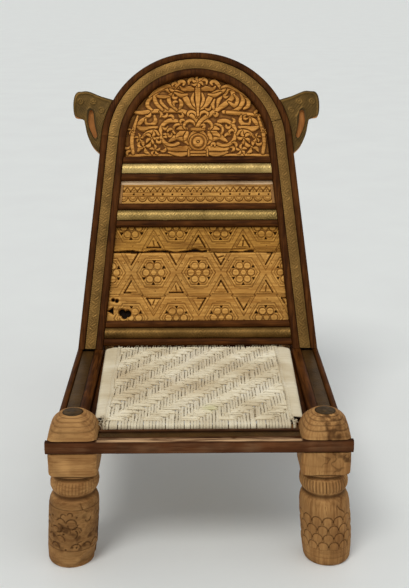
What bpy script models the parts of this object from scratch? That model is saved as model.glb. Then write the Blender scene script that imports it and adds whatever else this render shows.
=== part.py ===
"""A low carved chair with a woven cord seat and a tall arched back that leans back.

Metres, +Z up, and the chair faces -Y. Seat pieces are modelled with y measured back from the
legs' front faces. Back pieces are modelled upright, in the leaning frame of the back: X across,
Y back through its thickness, Z up its slope. Two empties place them.
"""

import math

import bpy
from mathutils import Vector

# Clearance left between pieces that touch.
GAP = 0.0003

# Front legs: a square block under a dome, over a turned ring and barrel.
LEG_X = 0.2245
LEG_Y = 0.0455
BLOCK_HALF = 0.045
BLOCK_BOTTOM = 0.187
LEG_TOP = 0.294
BARREL_RADIUS = 0.0467
LEG_SPLAY = 0.07
CAP_RADIUS = 0.0185
CAP_THICKNESS = 0.003

# Rear legs: shorter plain blocks on a turned foot.
REAR_LEG_Y = 0.529
REAR_BLOCK_HALF = 0.037
REAR_LEG_TOP = 0.262

# Seat frame.
RAIL_TOP = 0.257
RAIL_DEPTH = 0.045
SIDE_RAIL_OUTER = 0.2625
SIDE_RAIL_WIDTH = 0.057
FRONT_RAIL_FRONT = 0.0125
FRONT_RAIL_BACK = 0.053
FRONT_RAIL_BOTTOM = 0.229
LATH_HALF_LENGTH = 0.271
LATH_BOTTOM = 0.2325
LATH_TOP = 0.2555
LATH_THICKNESS = 0.012
LATH_PROUD = 0.0015

# Bars that the seat cord is wound on, and the woven seat.
BAR_TOP = 0.2485
BAR_HEIGHT = 0.020
BAR_WIDTH = 0.022
SEAT_FRONT = 0.0545
SEAT_REAR = 0.462
SEAT_HALF_FRONT = 0.1905
SEAT_HALF_REAR = 0.2015
SEAT_TOP = 0.262
REAR_ROD_RADIUS = 0.0105

# The back: its foot on the side rails, its lean, and the hoop that frames it.
BACK_Y = 0.444
RAKE = math.radians(25.0)
HOOP_RADIUS = 0.2145
ARCH_CENTRE = 0.459
STILE_LEAN = math.radians(5.7)
HOOP_BAND = 0.0545
HOOP_THICKNESS = 0.030
BEAD_OUTER = 0.0150
STRIP_WIDTH = 0.0230
CHANNEL_DEPTH = 0.0055
STRIP_THICKNESS = 0.0020
BACK_RAILS = {
    "lower": (0.0083, 0.0637),
    "middle": (0.2716, 0.3250),
    "upper": (0.3767, 0.4318),
}
BOARD_JOINT = 0.2155
LATH_STRIP_HEIGHT = 0.0080
PANEL_FRONT = 0.0100
PANEL_BACK = 0.0296
PANEL_END_WIDTH = 0.0055
BATTEN_X = 0.105
BATTEN_HALF = 0.018
BATTEN_THICKNESS = 0.011

# Ears on the shoulders of the hoop.
EAR_FRONT = 0.0080
EAR_THICKNESS = 0.0170
EAR_SHEET = 0.0012
EAR_CLEARANCE = 0.0007
EAR_OUTLINE = [
    (0.1960, 0.5640),
    (0.2370, 0.5850),
    (0.2560, 0.5890),
    (0.2690, 0.5820),
    (0.2775, 0.5580),
    (0.2765, 0.5380),
    (0.2715, 0.5270),
    (0.2570, 0.5215),
    (0.2530, 0.5110),
    (0.2480, 0.4820),
    (0.2350, 0.4570),
    (0.2210, 0.4410),
]
EAR_SLOT = [
    (0.2470, 0.5330, 0.0050),
    (0.2430, 0.5080, 0.0066),
    (0.2310, 0.4800, 0.0050),
]

# Joinery.
TENON_THICKNESS = 0.012
TENON_LENGTH = 0.028
PEG_RADIUS = 0.0045

COLOURS = {
    "pale_wood": (0.42, 0.25, 0.12),
    "dark_wood": (0.10, 0.035, 0.015),
    "carved_wood": (0.52, 0.29, 0.10),
    "aged_brass": (0.27, 0.21, 0.09),
    "cotton_cord": (0.66, 0.61, 0.50),
}
FINISHES = {
    "pale_wood": (0.75, 0.0),
    "dark_wood": (0.55, 0.0),
    "carved_wood": (0.65, 0.0),
    "aged_brass": (0.45, 0.9),
    "cotton_cord": (0.95, 0.0),
}


def clear_scene():
    for thing in list(bpy.data.objects):
        bpy.data.objects.remove(thing, do_unlink=True)


def principled(slot):
    """One material for one object, from the slot's colour and finish."""
    material = bpy.data.materials.new(slot)
    material.use_nodes = True
    shader = material.node_tree.nodes["Principled BSDF"]
    roughness, metallic = FINISHES[slot]
    shader.inputs["Base Color"].default_value = (*COLOURS[slot], 1.0)
    shader.inputs["Roughness"].default_value = roughness
    shader.inputs["Metallic"].default_value = metallic
    return material


def new_empty(name, location, lean=0.0, parent=None):
    empty = bpy.data.objects.new(name, None)
    bpy.context.scene.collection.objects.link(empty)
    empty.location = location
    empty.rotation_euler = (-lean, 0.0, 0.0)
    empty.parent = parent
    return empty


def volume(vertices, faces):
    """Signed volume, positive when the faces point out."""
    total = 0.0
    for face in faces:
        first = Vector(vertices[face[0]])
        for second, third in zip(face[1:-1], face[2:]):
            total += first.dot(Vector(vertices[second]).cross(Vector(vertices[third])))
    return total


def new_object(name, vertices, faces, parent, slot=None, smooth=False):
    """A mesh object with its faces turned outward; without a slot it is a hidden cutter."""
    if volume(vertices, faces) < 0:
        faces = [tuple(reversed(face)) for face in faces]
    mesh = bpy.data.meshes.new(name)
    mesh.from_pydata([tuple(vertex) for vertex in vertices], [], faces)
    mesh.update()
    thing = bpy.data.objects.new(name, mesh)
    bpy.context.scene.collection.objects.link(thing)
    thing.parent = parent
    if slot:
        mesh.materials.append(principled(slot))
    else:
        thing.hide_render = True
        thing.display_type = "WIRE"
    if smooth:
        mesh.shade_smooth()
        mesh.set_sharp_from_angle(angle=math.radians(35.0))
    return thing


def loft(rings):
    """Vertices and faces of a closed body through rings of equal length, capped at both ends."""
    count = len(rings[0])
    vertices = [point for ring in rings for point in ring]
    faces = [tuple(reversed(range(count)))]
    for row in range(len(rings) - 1):
        low = row * count
        for k in range(count):
            after = (k + 1) % count
            faces.append((low + k, low + after, low + count + after, low + count + k))
    last = (len(rings) - 1) * count
    faces.append(tuple(range(last, last + count)))
    return vertices, faces


def box(name, low, high, parent, slot=None):
    corners = [(low[0], low[1]), (high[0], low[1]), (high[0], high[1]), (low[0], high[1])]
    rings = [[(x, y, z) for x, y in corners] for z in (low[2], high[2])]
    return new_object(name, *loft(rings), parent, slot)


def extrude_outline(name, outline, front, back, parent, slot=None, smooth=False):
    """A plate in the back's frame: an (x, slope) outline given a thickness in Y."""
    rings = [[(x, depth, s) for x, s in outline] for depth in (front, back)]
    return new_object(name, *loft(rings), parent, slot, smooth)


def rod(name, start, end, radius, parent, slot=None, sides=16):
    """A round bar between two points that differ along one axis."""
    start = Vector(start)
    end = Vector(end)
    turn = (end - start).to_track_quat("Z", "Y")
    rings = []
    for centre in (start, end):
        ring = []
        for k in range(sides):
            angle = math.tau * k / sides
            offset = Vector((radius * math.cos(angle), radius * math.sin(angle), 0.0))
            ring.append(centre + turn @ offset)
        rings.append(ring)
    return new_object(name, *loft(rings), parent, slot, smooth=True)


def apply_boolean(host, cutter, operation):
    modifier = host.modifiers.new(operation.title() + " " + cutter.name, "BOOLEAN")
    modifier.operation = operation
    modifier.solver = "EXACT"
    modifier.object = cutter


def cut_box(host, low, high, parent):
    """Removes a box from a piece, with clearance on every side."""
    wide_low = [value - GAP for value in low]
    wide_high = [value + GAP for value in high]
    cutter = box(host.name + "_cut", wide_low, wide_high, parent)
    apply_boolean(host, cutter, "DIFFERENCE")


def tenon(member, host, low, high, parent):
    """A tongue added to one piece, and the mortise that it fills in another."""
    tongue = box(member.name + "_tongue", low, high, parent)
    apply_boolean(member, tongue, "UNION")
    cut_box(host, low, high, parent)


def turned_ring(height, half, squareness, centre, sides):
    """One level of a leg: a circle at squareness 2, and nearly a square at 9."""
    ring = []
    for k in range(sides):
        angle = math.tau * (k + 0.5) / sides
        across = math.cos(angle)
        along = math.sin(angle)
        reach = (abs(across) ** squareness + abs(along) ** squareness) ** (1.0 / squareness)
        ring.append((centre[0] + half * across / reach, centre[1] + half * along / reach, height))
    return ring


def leg(name, side, centre_x, centre_y, levels, splay, sides, parent):
    """A leg through (height, half width, squareness) levels, leaning out below its block."""
    rings = []
    for height, half, squareness in levels:
        out = splay * max(0.0, BLOCK_BOTTOM - height)
        centre = (side * (centre_x + out), centre_y)
        rings.append(turned_ring(height, half, squareness, centre, sides))
    return new_object(name, *loft(rings), parent, "pale_wood", smooth=True)


def front_leg_levels():
    recess = LEG_TOP - CAP_THICKNESS
    dome_base = 0.263
    dome_rise = LEG_TOP - dome_base
    levels = [
        (0.000, 0.0385, 2.0),
        (0.006, 0.0430, 2.0),
        (0.030, BARREL_RADIUS - 0.0007, 2.0),
        (0.085, BARREL_RADIUS, 2.0),
        (0.118, 0.0460, 2.0),
        (0.132, 0.0430, 2.0),
        (0.139, 0.0375, 2.0),
        (0.145, 0.0380, 2.0),
        (0.148, 0.0420, 2.0),
        (0.161, 0.0450, 2.0),
        (0.173, 0.0420, 2.0),
        (0.176, 0.0375, 2.0),
        (0.180, 0.0375, 2.0),
        (0.183, 0.0425, 3.0),
        (BLOCK_BOTTOM, 0.0440, 7.0),
        (0.195, BLOCK_HALF, 9.0),
        (dome_base - 0.020, BLOCK_HALF, 9.0),
        (dome_base - 0.008, BLOCK_HALF - 0.0005, 6.5),
    ]
    for share in (0.2, 0.5, 0.78, 0.93):
        half = CAP_RADIUS + 0.003 + (BLOCK_HALF - CAP_RADIUS - 0.006) * (1 - share**1.6)
        levels.append((dome_base + dome_rise * share, half, 4.2 - 2.2 * share))
    levels += [
        (LEG_TOP, CAP_RADIUS + GAP, 2.0),
        (recess, CAP_RADIUS + GAP * 0.98, 2.0),
    ]
    return levels


def rear_leg_levels():
    return [
        (0.000, 0.0260, 2.0),
        (0.005, 0.0300, 2.0),
        (0.070, 0.0340, 2.0),
        (0.125, 0.0310, 2.0),
        (0.140, 0.0260, 2.0),
        (0.152, 0.0260, 2.0),
        (0.166, 0.0310, 2.0),
        (0.180, 0.0270, 2.0),
        (0.190, 0.0350, 5.0),
        (0.198, REAR_BLOCK_HALF, 9.0),
        (REAR_LEG_TOP - 0.005, REAR_BLOCK_HALF, 9.0),
        (REAR_LEG_TOP, REAR_BLOCK_HALF - 0.005, 8.0),
    ]


def leg_cap(name, side, parent):
    """A shallow metal button let into the top of a leg."""
    seat = LEG_TOP - CAP_THICKNESS + GAP
    levels = [
        (seat, CAP_RADIUS - 0.0004),
        (seat + CAP_THICKNESS * 0.8, CAP_RADIUS - 0.0004),
        (seat + CAP_THICKNESS * 1.1, CAP_RADIUS * 0.85),
        (seat + CAP_THICKNESS * 1.3, CAP_RADIUS * 0.45),
    ]
    centre = (side * LEG_X, LEG_Y)
    rings = [turned_ring(height, half, 2.0, centre, 24) for height, half in levels]
    return new_object(name, *loft(rings), parent, "aged_brass", smooth=True)


def moulded_section(width, bead_near, strip, depth, steps=4):
    """(across, depth) points of a bar: a rounded bead on each side of a shallow channel."""
    bead_far = width - bead_near - strip
    points = [(0.0, depth)]
    for start, span in ((0.0, bead_near), (bead_near + strip, bead_far)):
        for k in range(steps + 1):
            angle = math.pi * k / steps
            across = start + span * (0.5 - 0.5 * math.cos(angle))
            points.append((across, CHANNEL_DEPTH * (1.0 - math.sin(angle))))
    points.append((width, depth))
    return points


def strip_section(start, width):
    """(across, depth) points of the metal strip that lies in a channel, crowned along its middle."""
    floor = CHANNEL_DEPTH - GAP
    top = floor - STRIP_THICKNESS
    near = start + GAP
    far = start + width - GAP
    middle = start + width / 2
    return [(near, floor), (near, top + 0.0008), (middle, top), (far, top + 0.0008), (far, floor)]


def half_width(s, inset=0.0):
    """Half the back's width at a height up its slope, that far in from the hoop's outer edge."""
    tangent = ARCH_CENTRE + (HOOP_RADIUS - inset) * math.sin(STILE_LEAN)
    if s <= tangent:
        drop = (ARCH_CENTRE - s) * math.sin(STILE_LEAN)
        return (HOOP_RADIUS - inset + drop) / math.cos(STILE_LEAN)
    radius = HOOP_RADIUS - inset
    return math.sqrt(max(0.0, radius**2 - (s - ARCH_CENTRE) ** 2))


def arch_ring(section, angle):
    """A section of the hoop set square to the arch, at that angle from its right-hand side."""
    ring = []
    for inset, depth in section:
        radius = HOOP_RADIUS - inset
        x = radius * math.cos(angle)
        ring.append((x, depth, ARCH_CENTRE + radius * math.sin(angle)))
    return ring


def foot_ring(section, side, lift=0.0):
    """A section of a stile cut level, so that it stands flat on the side rail."""
    ring = []
    for inset, depth in section:
        s = depth * math.tan(RAKE) + GAP / math.cos(RAKE) + lift
        ring.append((side * half_width(s, inset), depth, s))
    return ring


def arch_angles(start, end):
    """Angles from start to end in steps of about 7 degrees."""
    steps = max(1, round(abs(end - start) / math.radians(7.0)))
    return [start + (end - start) * k / steps for k in range(steps + 1)]


def stile(name, side, section, top_angle, parent, slot):
    """A hoop piece that runs up from the side rail and, past the spring, round to an angle."""
    rings = [foot_ring(section, side)]
    for angle in arch_angles(STILE_LEAN, top_angle) if top_angle > STILE_LEAN else [STILE_LEAN]:
        turned = angle if side > 0 else math.pi - angle
        rings.append(arch_ring(section, turned))
    return new_object(name, *loft(rings), parent, slot, smooth=True)


def arch(name, section, start, end, parent, slot):
    rings = [arch_ring(section, angle) for angle in arch_angles(start, end)]
    return new_object(name, *loft(rings), parent, slot, smooth=True)


def back_rail(name, low, section, parent, slot):
    """A moulded bar between the stiles, its ends cut to their lean.

    The lowest bar's underside is cut level, so that it clears the seat.
    """
    left = []
    right = []
    for across, depth in section:
        s = low + across
        if across == 0.0 and low == BACK_RAILS["lower"][0]:
            s += depth * math.tan(RAKE)
        reach = half_width(s, HOOP_BAND) - GAP
        left.append((-reach, depth, s))
        right.append((reach, depth, s))
    return new_object(name, *loft([left, right]), parent, slot, smooth=True)


def panel(name, low, high, parent, slot="carved_wood", ends=0.0):
    """A board between the stiles from one slope height to another; ends makes it shorter."""
    inset = HOOP_BAND + GAP
    outline = []
    for sign, s in ((-1, low), (1, low), (1, high), (-1, high)):
        outline.append((sign * (half_width(s, inset) - ends), s))
    return extrude_outline(name, outline, PANEL_FRONT, PANEL_BACK, parent, slot)


def arch_board(name, low, parent):
    """The board that fills the arch above the upper rail."""
    inset = HOOP_BAND + GAP
    radius = HOOP_RADIUS - inset
    outline = [(-half_width(low, inset), low), (half_width(low, inset), low)]
    for angle in arch_angles(STILE_LEAN, math.pi - STILE_LEAN):
        outline.append((radius * math.cos(angle), ARCH_CENTRE + radius * math.sin(angle)))
    return extrude_outline(name, outline, PANEL_FRONT, PANEL_BACK, parent, "carved_wood")


def end_filler(name, side, low, high, parent):
    inset = HOOP_BAND + GAP
    outline = []
    for s, trim in ((low, PANEL_END_WIDTH), (low, 0.0), (high, 0.0), (high, PANEL_END_WIDTH)):
        outline.append((side * (half_width(s, inset) - trim), s))
    return extrude_outline(name, outline, PANEL_FRONT - 0.002, PANEL_BACK, parent, "pale_wood")


def ear_outline(side, clearance):
    """An ear's outline with its inner side following the hoop, and the rest as the list says."""
    inner = []
    top_angle = math.asin((EAR_OUTLINE[0][1] - ARCH_CENTRE) / HOOP_RADIUS)
    low_s = EAR_OUTLINE[-1][1]
    for k in range(7):
        s = low_s + (EAR_OUTLINE[0][1] - low_s) * k / 6
        inner.append((half_width(s, -clearance), s))
    top_x = (HOOP_RADIUS + clearance) * math.cos(top_angle)
    inner[-1] = (top_x, EAR_OUTLINE[0][1])
    return [(side * x, s) for x, s in inner + EAR_OUTLINE[1:-1]]


def slot_outline(side):
    """The curved slot in an ear: two round ends joined by sides that widen in the middle."""
    rim = []
    for end, sweep in ((0, 1), (2, -1)):
        x, s, radius = EAR_SLOT[end]
        for k in range(5):
            angle = math.radians(10.0) + math.pi * k / 4
            rim.append((x + sweep * radius * math.cos(angle), s + sweep * radius * math.sin(angle)))
        if end == 0:
            middle_x, middle_s, middle_radius = EAR_SLOT[1]
            rim.append((middle_x - middle_radius, middle_s))
    rim.append((middle_x + middle_radius, middle_s))
    return [(side * across, s) for across, s in rim]


def ear(name, side, parent):
    """The wooden ear, hollowed in front behind the slot."""
    outline = ear_outline(side, EAR_CLEARANCE)
    front = EAR_FRONT + EAR_SHEET + GAP
    body = extrude_outline(name, outline, front, EAR_FRONT + EAR_THICKNESS, parent, "pale_wood")
    hollow_floor = front + 0.005
    cutter = extrude_outline(name + "_slot", slot_outline(side), -0.01, hollow_floor, parent)
    apply_boolean(body, cutter, "DIFFERENCE")
    return body


def ear_sheet(name, side, parent):
    """The metal sheet that covers an ear's front, with the slot cut through it."""
    outline = ear_outline(side, EAR_CLEARANCE)
    sheet_back = EAR_FRONT + EAR_SHEET
    sheet = extrude_outline(name, outline, EAR_FRONT, sheet_back, parent, "aged_brass")
    cutter = extrude_outline(name + "_slot", slot_outline(side), -0.01, 0.05, parent)
    apply_boolean(sheet, cutter, "DIFFERENCE")
    return sheet


def build_legs(seat):
    legs = {}
    for side, label in ((-1, "left"), (1, "right")):
        front = leg(
            "front_leg_" + label, side, LEG_X, LEG_Y, front_leg_levels(), LEG_SPLAY, 28, seat
        )
        rear_x = SIDE_RAIL_OUTER - REAR_BLOCK_HALF
        rear = leg(
            "rear_leg_" + label, side, rear_x, REAR_LEG_Y, rear_leg_levels(), 0.0, 20, seat
        )
        leg_cap("leg_cap_" + label, side, seat)
        legs["front", side] = front
        legs["rear", side] = rear
    return legs


def rail_section(width, depth, bead, strip):
    """(across, height) points of a seat rail, moulded on its top face."""
    points = []
    for across, fall in moulded_section(width, bead, strip, depth):
        points.append((across, RAIL_TOP - fall))
    return points


def build_side_rails(seat, legs):
    """The two side rails with their metal strips, tenoned into the legs' blocks."""
    bead = 0.0125
    strip = 0.0240
    front = LEG_Y + BLOCK_HALF + GAP
    rear = REAR_LEG_Y - REAR_BLOCK_HALF - GAP
    middle_x = SIDE_RAIL_OUTER - SIDE_RAIL_WIDTH / 2
    low = RAIL_TOP - RAIL_DEPTH + 0.008
    high = RAIL_TOP - 0.012
    rails = {}
    for side, label in ((-1, "left"), (1, "right")):
        section = rail_section(SIDE_RAIL_WIDTH, RAIL_DEPTH, bead, strip)
        rings = []
        for y in (front, rear):
            rings.append([(side * (SIDE_RAIL_OUTER - w), y, z) for w, z in section])
        rail = new_object(
            "side_rail_" + label, *loft(rings), seat, "dark_wood", smooth=True
        )
        strip_rings = []
        for y in (front + GAP, BACK_Y - GAP):
            ring = []
            for across, depth in strip_section(bead, strip):
                ring.append((side * (SIDE_RAIL_OUTER - across), y, RAIL_TOP - depth))
            strip_rings.append(ring)
        new_object("side_rail_brass_" + label, *loft(strip_rings), seat, "aged_brass", smooth=True)
        half = TENON_THICKNESS / 2
        for end, y, direction in (("front", front, -1), ("rear", rear, 1)):
            near = sorted((y - direction * 0.004, y + direction * TENON_LENGTH))
            centre = side * middle_x
            tenon(
                rail,
                legs[end, side],
                (centre - half, near[0], low),
                (centre + half, near[1], high),
                seat,
            )
        rails[side] = rail
    return rails


def build_front_rail(seat, legs):
    """The front rail, its metal strip, and the half-round lath let into both legs."""
    bead = 0.0095
    width = FRONT_RAIL_BACK - FRONT_RAIL_FRONT
    strip = 0.0220
    reach = LEG_X - BLOCK_HALF - GAP
    depth = RAIL_TOP - FRONT_RAIL_BOTTOM
    rings = []
    for x in (-reach, reach):
        section = rail_section(width, depth, bead, strip)
        rings.append([(x, FRONT_RAIL_FRONT + w, z) for w, z in section])
    rail = new_object("front_rail", *loft(rings), seat, "dark_wood", smooth=True)
    strip_rings = []
    for x in (-reach + GAP, reach - GAP):
        ring = []
        for across, fall in strip_section(bead, strip):
            ring.append((x, FRONT_RAIL_FRONT + across, RAIL_TOP - fall))
        strip_rings.append(ring)
    new_object("front_rail_brass", *loft(strip_rings), seat, "aged_brass", smooth=True)
    middle = (FRONT_RAIL_FRONT + FRONT_RAIL_BACK) / 2
    half = TENON_THICKNESS / 2
    for side in (-1, 1):
        ends = sorted((side * (reach - 0.004), side * (reach + TENON_LENGTH)))
        low = (ends[0], middle - half, FRONT_RAIL_BOTTOM + 0.005)
        high = (ends[1], middle + half, RAIL_TOP - 0.009)
        tenon(rail, legs["front", side], low, high, seat)
    lath_rings = []
    for x in (-LATH_HALF_LENGTH, LATH_HALF_LENGTH):
        middle_z = (LATH_BOTTOM + LATH_TOP) / 2
        half_z = (LATH_TOP - LATH_BOTTOM) / 2
        ring = []
        for k in range(9):
            angle = math.pi * k / 8
            swell = math.sin(angle) ** 0.6
            y = LATH_THICKNESS * 0.35 - (LATH_THICKNESS * 0.35 + LATH_PROUD) * swell
            ring.append((x, y, middle_z - half_z * math.cos(angle)))
        back = LATH_THICKNESS - LATH_PROUD
        ring += [(x, back, LATH_TOP), (x, back, LATH_BOTTOM)]
        lath_rings.append(ring)
    new_object("front_lath", *loft(lath_rings), seat, "dark_wood", smooth=True)
    for side in (-1, 1):
        reach = LATH_HALF_LENGTH + 0.01
        low = (-reach, -0.01, LATH_BOTTOM)
        high = (reach, LATH_THICKNESS - LATH_PROUD, LATH_TOP)
        cut_box(legs["front", side], low, high, seat)


def build_seat(seat, legs, rails):
    """The rear rail, the bars that carry the cord, and the woven seat as one soft slab."""
    half = TENON_THICKNESS / 2
    reach = SIDE_RAIL_OUTER - 2 * REAR_BLOCK_HALF - GAP
    rear_front = REAR_LEG_Y - 0.014
    rear_back = REAR_LEG_Y + 0.014
    low_z = RAIL_TOP - 0.045
    rear = box(
        "rear_rail", (-reach, rear_front, low_z), (reach, rear_back, RAIL_TOP), seat, "dark_wood"
    )
    for side in (-1, 1):
        ends = sorted((side * (reach - 0.004), side * (reach + TENON_LENGTH)))
        low = (ends[0], REAR_LEG_Y - half, low_z + 0.008)
        high = (ends[1], REAR_LEG_Y + half, RAIL_TOP - 0.009)
        tenon(rear, legs["rear", side], low, high, seat)
    bar_low = BAR_TOP - BAR_HEIGHT
    bar_end = LEG_X - BLOCK_HALF - GAP
    front = box(
        "seat_bar_front",
        (-bar_end, SEAT_FRONT, bar_low),
        (bar_end, SEAT_FRONT + BAR_WIDTH, BAR_TOP),
        seat,
        "pale_wood",
    )
    for side in (-1, 1):
        ends = sorted((side * (bar_end - 0.004), side * (bar_end + 0.015)))
        low = (ends[0], SEAT_FRONT + 0.006, bar_low + 0.004)
        high = (ends[1], SEAT_FRONT + 0.016, BAR_TOP - 0.004)
        tenon(front, legs["front", side], low, high, seat)
    rod_y = SEAT_REAR - 0.012
    rod_z = BAR_TOP - REAR_ROD_RADIUS
    rod_reach = SIDE_RAIL_OUTER - SIDE_RAIL_WIDTH + 0.018
    start = (-rod_reach, rod_y, rod_z)
    end = (rod_reach, rod_y, rod_z)
    rod("seat_bar_rear", start, end, REAR_ROD_RADIUS, seat, "dark_wood")
    hole_start = (-rod_reach - GAP, rod_y, rod_z)
    hole_end = (rod_reach + GAP, rod_y, rod_z)
    for side in (-1, 1):
        drill = rod("rod_hole", hole_start, hole_end, REAR_ROD_RADIUS + 2 * GAP, seat)
        apply_boolean(rails[side], drill, "DIFFERENCE")
    bar_front = LEG_Y + BLOCK_HALF + 0.004
    bar_rear = rod_y - REAR_ROD_RADIUS - 2 * GAP
    for side, label in ((-1, "left"), (1, "right")):
        rings = []
        for y in (bar_front, bar_rear):
            share = (y - SEAT_FRONT) / (SEAT_REAR - SEAT_FRONT)
            outer = SEAT_HALF_FRONT + (SEAT_HALF_REAR - SEAT_HALF_FRONT) * share - 0.003
            inner = outer - BAR_WIDTH
            corners = [(inner, bar_low), (outer, bar_low), (outer, BAR_TOP), (inner, BAR_TOP)]
            rings.append([(side * x, y, z) for x, z in corners])
        new_object("seat_bar_" + label, *loft(rings), seat, "pale_wood")
    weave_low = BAR_TOP + GAP
    corner = LEG_X - BLOCK_HALF - 2 * GAP
    corner_y = LEG_Y + BLOCK_HALF + 2 * GAP
    outline = [
        (-corner, SEAT_FRONT),
        (corner, SEAT_FRONT),
        (corner, corner_y),
        (SEAT_HALF_FRONT, corner_y),
        (SEAT_HALF_REAR, SEAT_REAR),
        (-SEAT_HALF_REAR, SEAT_REAR),
        (-SEAT_HALF_FRONT, corner_y),
        (-corner, corner_y),
    ]
    rings = []
    for z, shrink in ((weave_low, 0.0), (SEAT_TOP - 0.003, 0.0), (SEAT_TOP, 0.003)):
        ring = []
        for x, y in outline:
            pull_y = shrink if y < LEG_Y else -shrink if y > BACK_Y else 0.0
            ring.append((x - math.copysign(shrink, x), y + pull_y, z))
        rings.append(ring)
    new_object("seat_weave", *loft(rings), seat, "cotton_cord")


def build_hoop(back, rails):
    """The stiles and the arch, joined at the spring, with three metal strips in their channel."""
    section = moulded_section(HOOP_BAND, BEAD_OUTER, STRIP_WIDTH, HOOP_THICKNESS)
    stiles = {}
    for side, label in ((-1, "left"), (1, "right")):
        stiles[side] = stile(
            "back_stile_" + label, side, section, STILE_LEAN, back, "dark_wood"
        )
    joint_gap = GAP / HOOP_RADIUS * 1.4
    start = STILE_LEAN + joint_gap
    hoop = arch("back_arch", section, start, math.pi - start, back, "dark_wood")
    middle = HOOP_BAND / 2
    for side in (-1, 1):
        tongue_x = side * (HOOP_RADIUS - middle)
        low = (tongue_x - 0.012, 0.013, ARCH_CENTRE - 0.005)
        high = (tongue_x + 0.012, 0.022, ARCH_CENTRE + 0.045)
        tenon(stiles[side], hoop, low, high, back)
        foot_x = side * half_width(0.0, middle)
        foot_low = (foot_x - 0.010, 0.010, -0.020)
        foot_high = (foot_x + 0.010, 0.020, 0.015)
        tenon(stiles[side], rails[side], foot_low, foot_high, back)
    strip = strip_section(BEAD_OUTER, STRIP_WIDTH)
    right_joint = math.radians(17.0)
    left_joint = math.pi - STILE_LEAN
    seam = GAP / HOOP_RADIUS
    stile("hoop_brass_left", -1, strip, STILE_LEAN, back, "aged_brass")
    stile("hoop_brass_right", 1, strip, right_joint - seam, back, "aged_brass")
    arch("hoop_brass_arch", strip, right_joint + seam, left_joint - 2 * seam, back, "aged_brass")
    return stiles


def build_back_rails(back, stiles):
    for label, (low, high) in BACK_RAILS.items():
        height = high - low
        bead = (height - STRIP_WIDTH) / 2
        section = moulded_section(height, bead, STRIP_WIDTH, HOOP_THICKNESS)
        rail = back_rail("back_rail_" + label, low, section, back, "dark_wood")
        back_rail(
            "back_rail_brass_" + label, low, strip_section(bead, STRIP_WIDTH), back, "aged_brass"
        )
        for side in (-1, 1):
            edge = half_width(low, HOOP_BAND)
            ends = sorted((side * (edge - 0.010), side * (edge + 0.022)))
            tongue_low = (ends[0], 0.014, low + 0.012)
            tongue_high = (ends[1], 0.023, high - 0.012)
            tenon(rail, stiles[side], tongue_low, tongue_high, back)


def build_panels(back):
    """The carved boards between the rails, and the two battens behind them."""
    arch_board("arch_panel", BACK_RAILS["upper"][1] + GAP, back)
    upper_low = BACK_RAILS["upper"][0]
    lath_low = upper_low - LATH_STRIP_HEIGHT
    panel("panel_lath", lath_low, upper_low - GAP, back, "pale_wood")
    low = BACK_RAILS["middle"][1] + GAP
    high = lath_low - GAP
    panel("narrow_panel", low, high, back, ends=PANEL_END_WIDTH + GAP)
    end_filler("panel_end_left", -1, low, high, back)
    end_filler("panel_end_right", 1, low, high, back)
    panel("lattice_panel_upper", BOARD_JOINT + GAP, BACK_RAILS["middle"][0] - GAP, back)
    panel("lattice_panel_lower", BACK_RAILS["lower"][1] + GAP, BOARD_JOINT, back)
    batten_front = HOOP_THICKNESS + GAP
    for side, label in ((-1, "left"), (1, "right")):
        top = ARCH_CENTRE + 0.140
        low_corner = (side * BATTEN_X - BATTEN_HALF, batten_front, 0.030)
        high_corner = (side * BATTEN_X + BATTEN_HALF, batten_front + BATTEN_THICKNESS, top)
        box("back_batten_" + label, low_corner, high_corner, back, "pale_wood")


def build_pegs(seat, legs, rails):
    """Wooden pegs through the legs' blocks and the side rails' tongues."""
    middle_x = SIDE_RAIL_OUTER - SIDE_RAIL_WIDTH / 2
    inner = middle_x - TENON_THICKNESS / 2 - 0.006
    spots = (
        ("front", LEG_Y + BLOCK_HALF - 0.014, LEG_X + BLOCK_HALF),
        ("rear", REAR_LEG_Y - REAR_BLOCK_HALF + 0.014, SIDE_RAIL_OUTER),
    )
    height = RAIL_TOP - 0.024
    for end, y, face in spots:
        for side, label in ((-1, "left"), (1, "right")):
            outside = side * (face + 0.0008)
            start = (side * inner, y, height)
            peg = end + "_peg_" + label
            rod(peg, start, (outside, y, height), PEG_RADIUS, seat, "pale_wood", 12)
            for host in (legs[end, side], rails[side]):
                hole_start = (side * (inner - GAP), y, height)
                hole_end = (side * (face + 0.01), y, height)
                drill = rod(peg + "_hole", hole_start, hole_end, PEG_RADIUS + GAP, seat, None, 12)
                apply_boolean(host, drill, "DIFFERENCE")


def centre_on_footprint(empty):
    """Moves the whole chair so that its bounding box is centred over the origin in X and Y."""
    bpy.context.view_layer.update()
    graph = bpy.context.evaluated_depsgraph_get()
    points = []
    for thing in bpy.context.scene.objects:
        if thing.type == "MESH" and not thing.hide_render:
            solid = thing.evaluated_get(graph)
            points += [solid.matrix_world @ vertex.co for vertex in solid.data.vertices]
    for axis in (0, 1):
        values = [point[axis] for point in points]
        empty.location[axis] -= (min(values) + max(values)) / 2


def main():
    clear_scene()
    seat = new_empty("chair_place", (0.0, 0.0, 0.0))
    back = new_empty("back_place", (0.0, BACK_Y, RAIL_TOP), RAKE, seat)
    legs = build_legs(seat)
    rails = build_side_rails(seat, legs)
    build_front_rail(seat, legs)
    build_seat(seat, legs, rails)
    stiles = build_hoop(back, rails)
    build_back_rails(back, stiles)
    build_panels(back)
    for side, label in ((-1, "left"), (1, "right")):
        ear("ear_" + label, side, back)
        ear_sheet("ear_brass_" + label, side, back)
    build_pegs(seat, legs, rails)
    centre_on_footprint(seat)


main()
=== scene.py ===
"""The looks of a low carved chair: carved wood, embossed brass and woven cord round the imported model.

Metres, +Z up, and the chair faces -Y. Seat pieces are modelled with y measured back from the legs'
front faces. Back pieces are modelled upright, in the leaning frame of the back: X across, Y back
through its thickness, and s, or Z, up its slope. SEAT_PLACE and BACK_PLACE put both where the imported
model is.
"""

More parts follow.
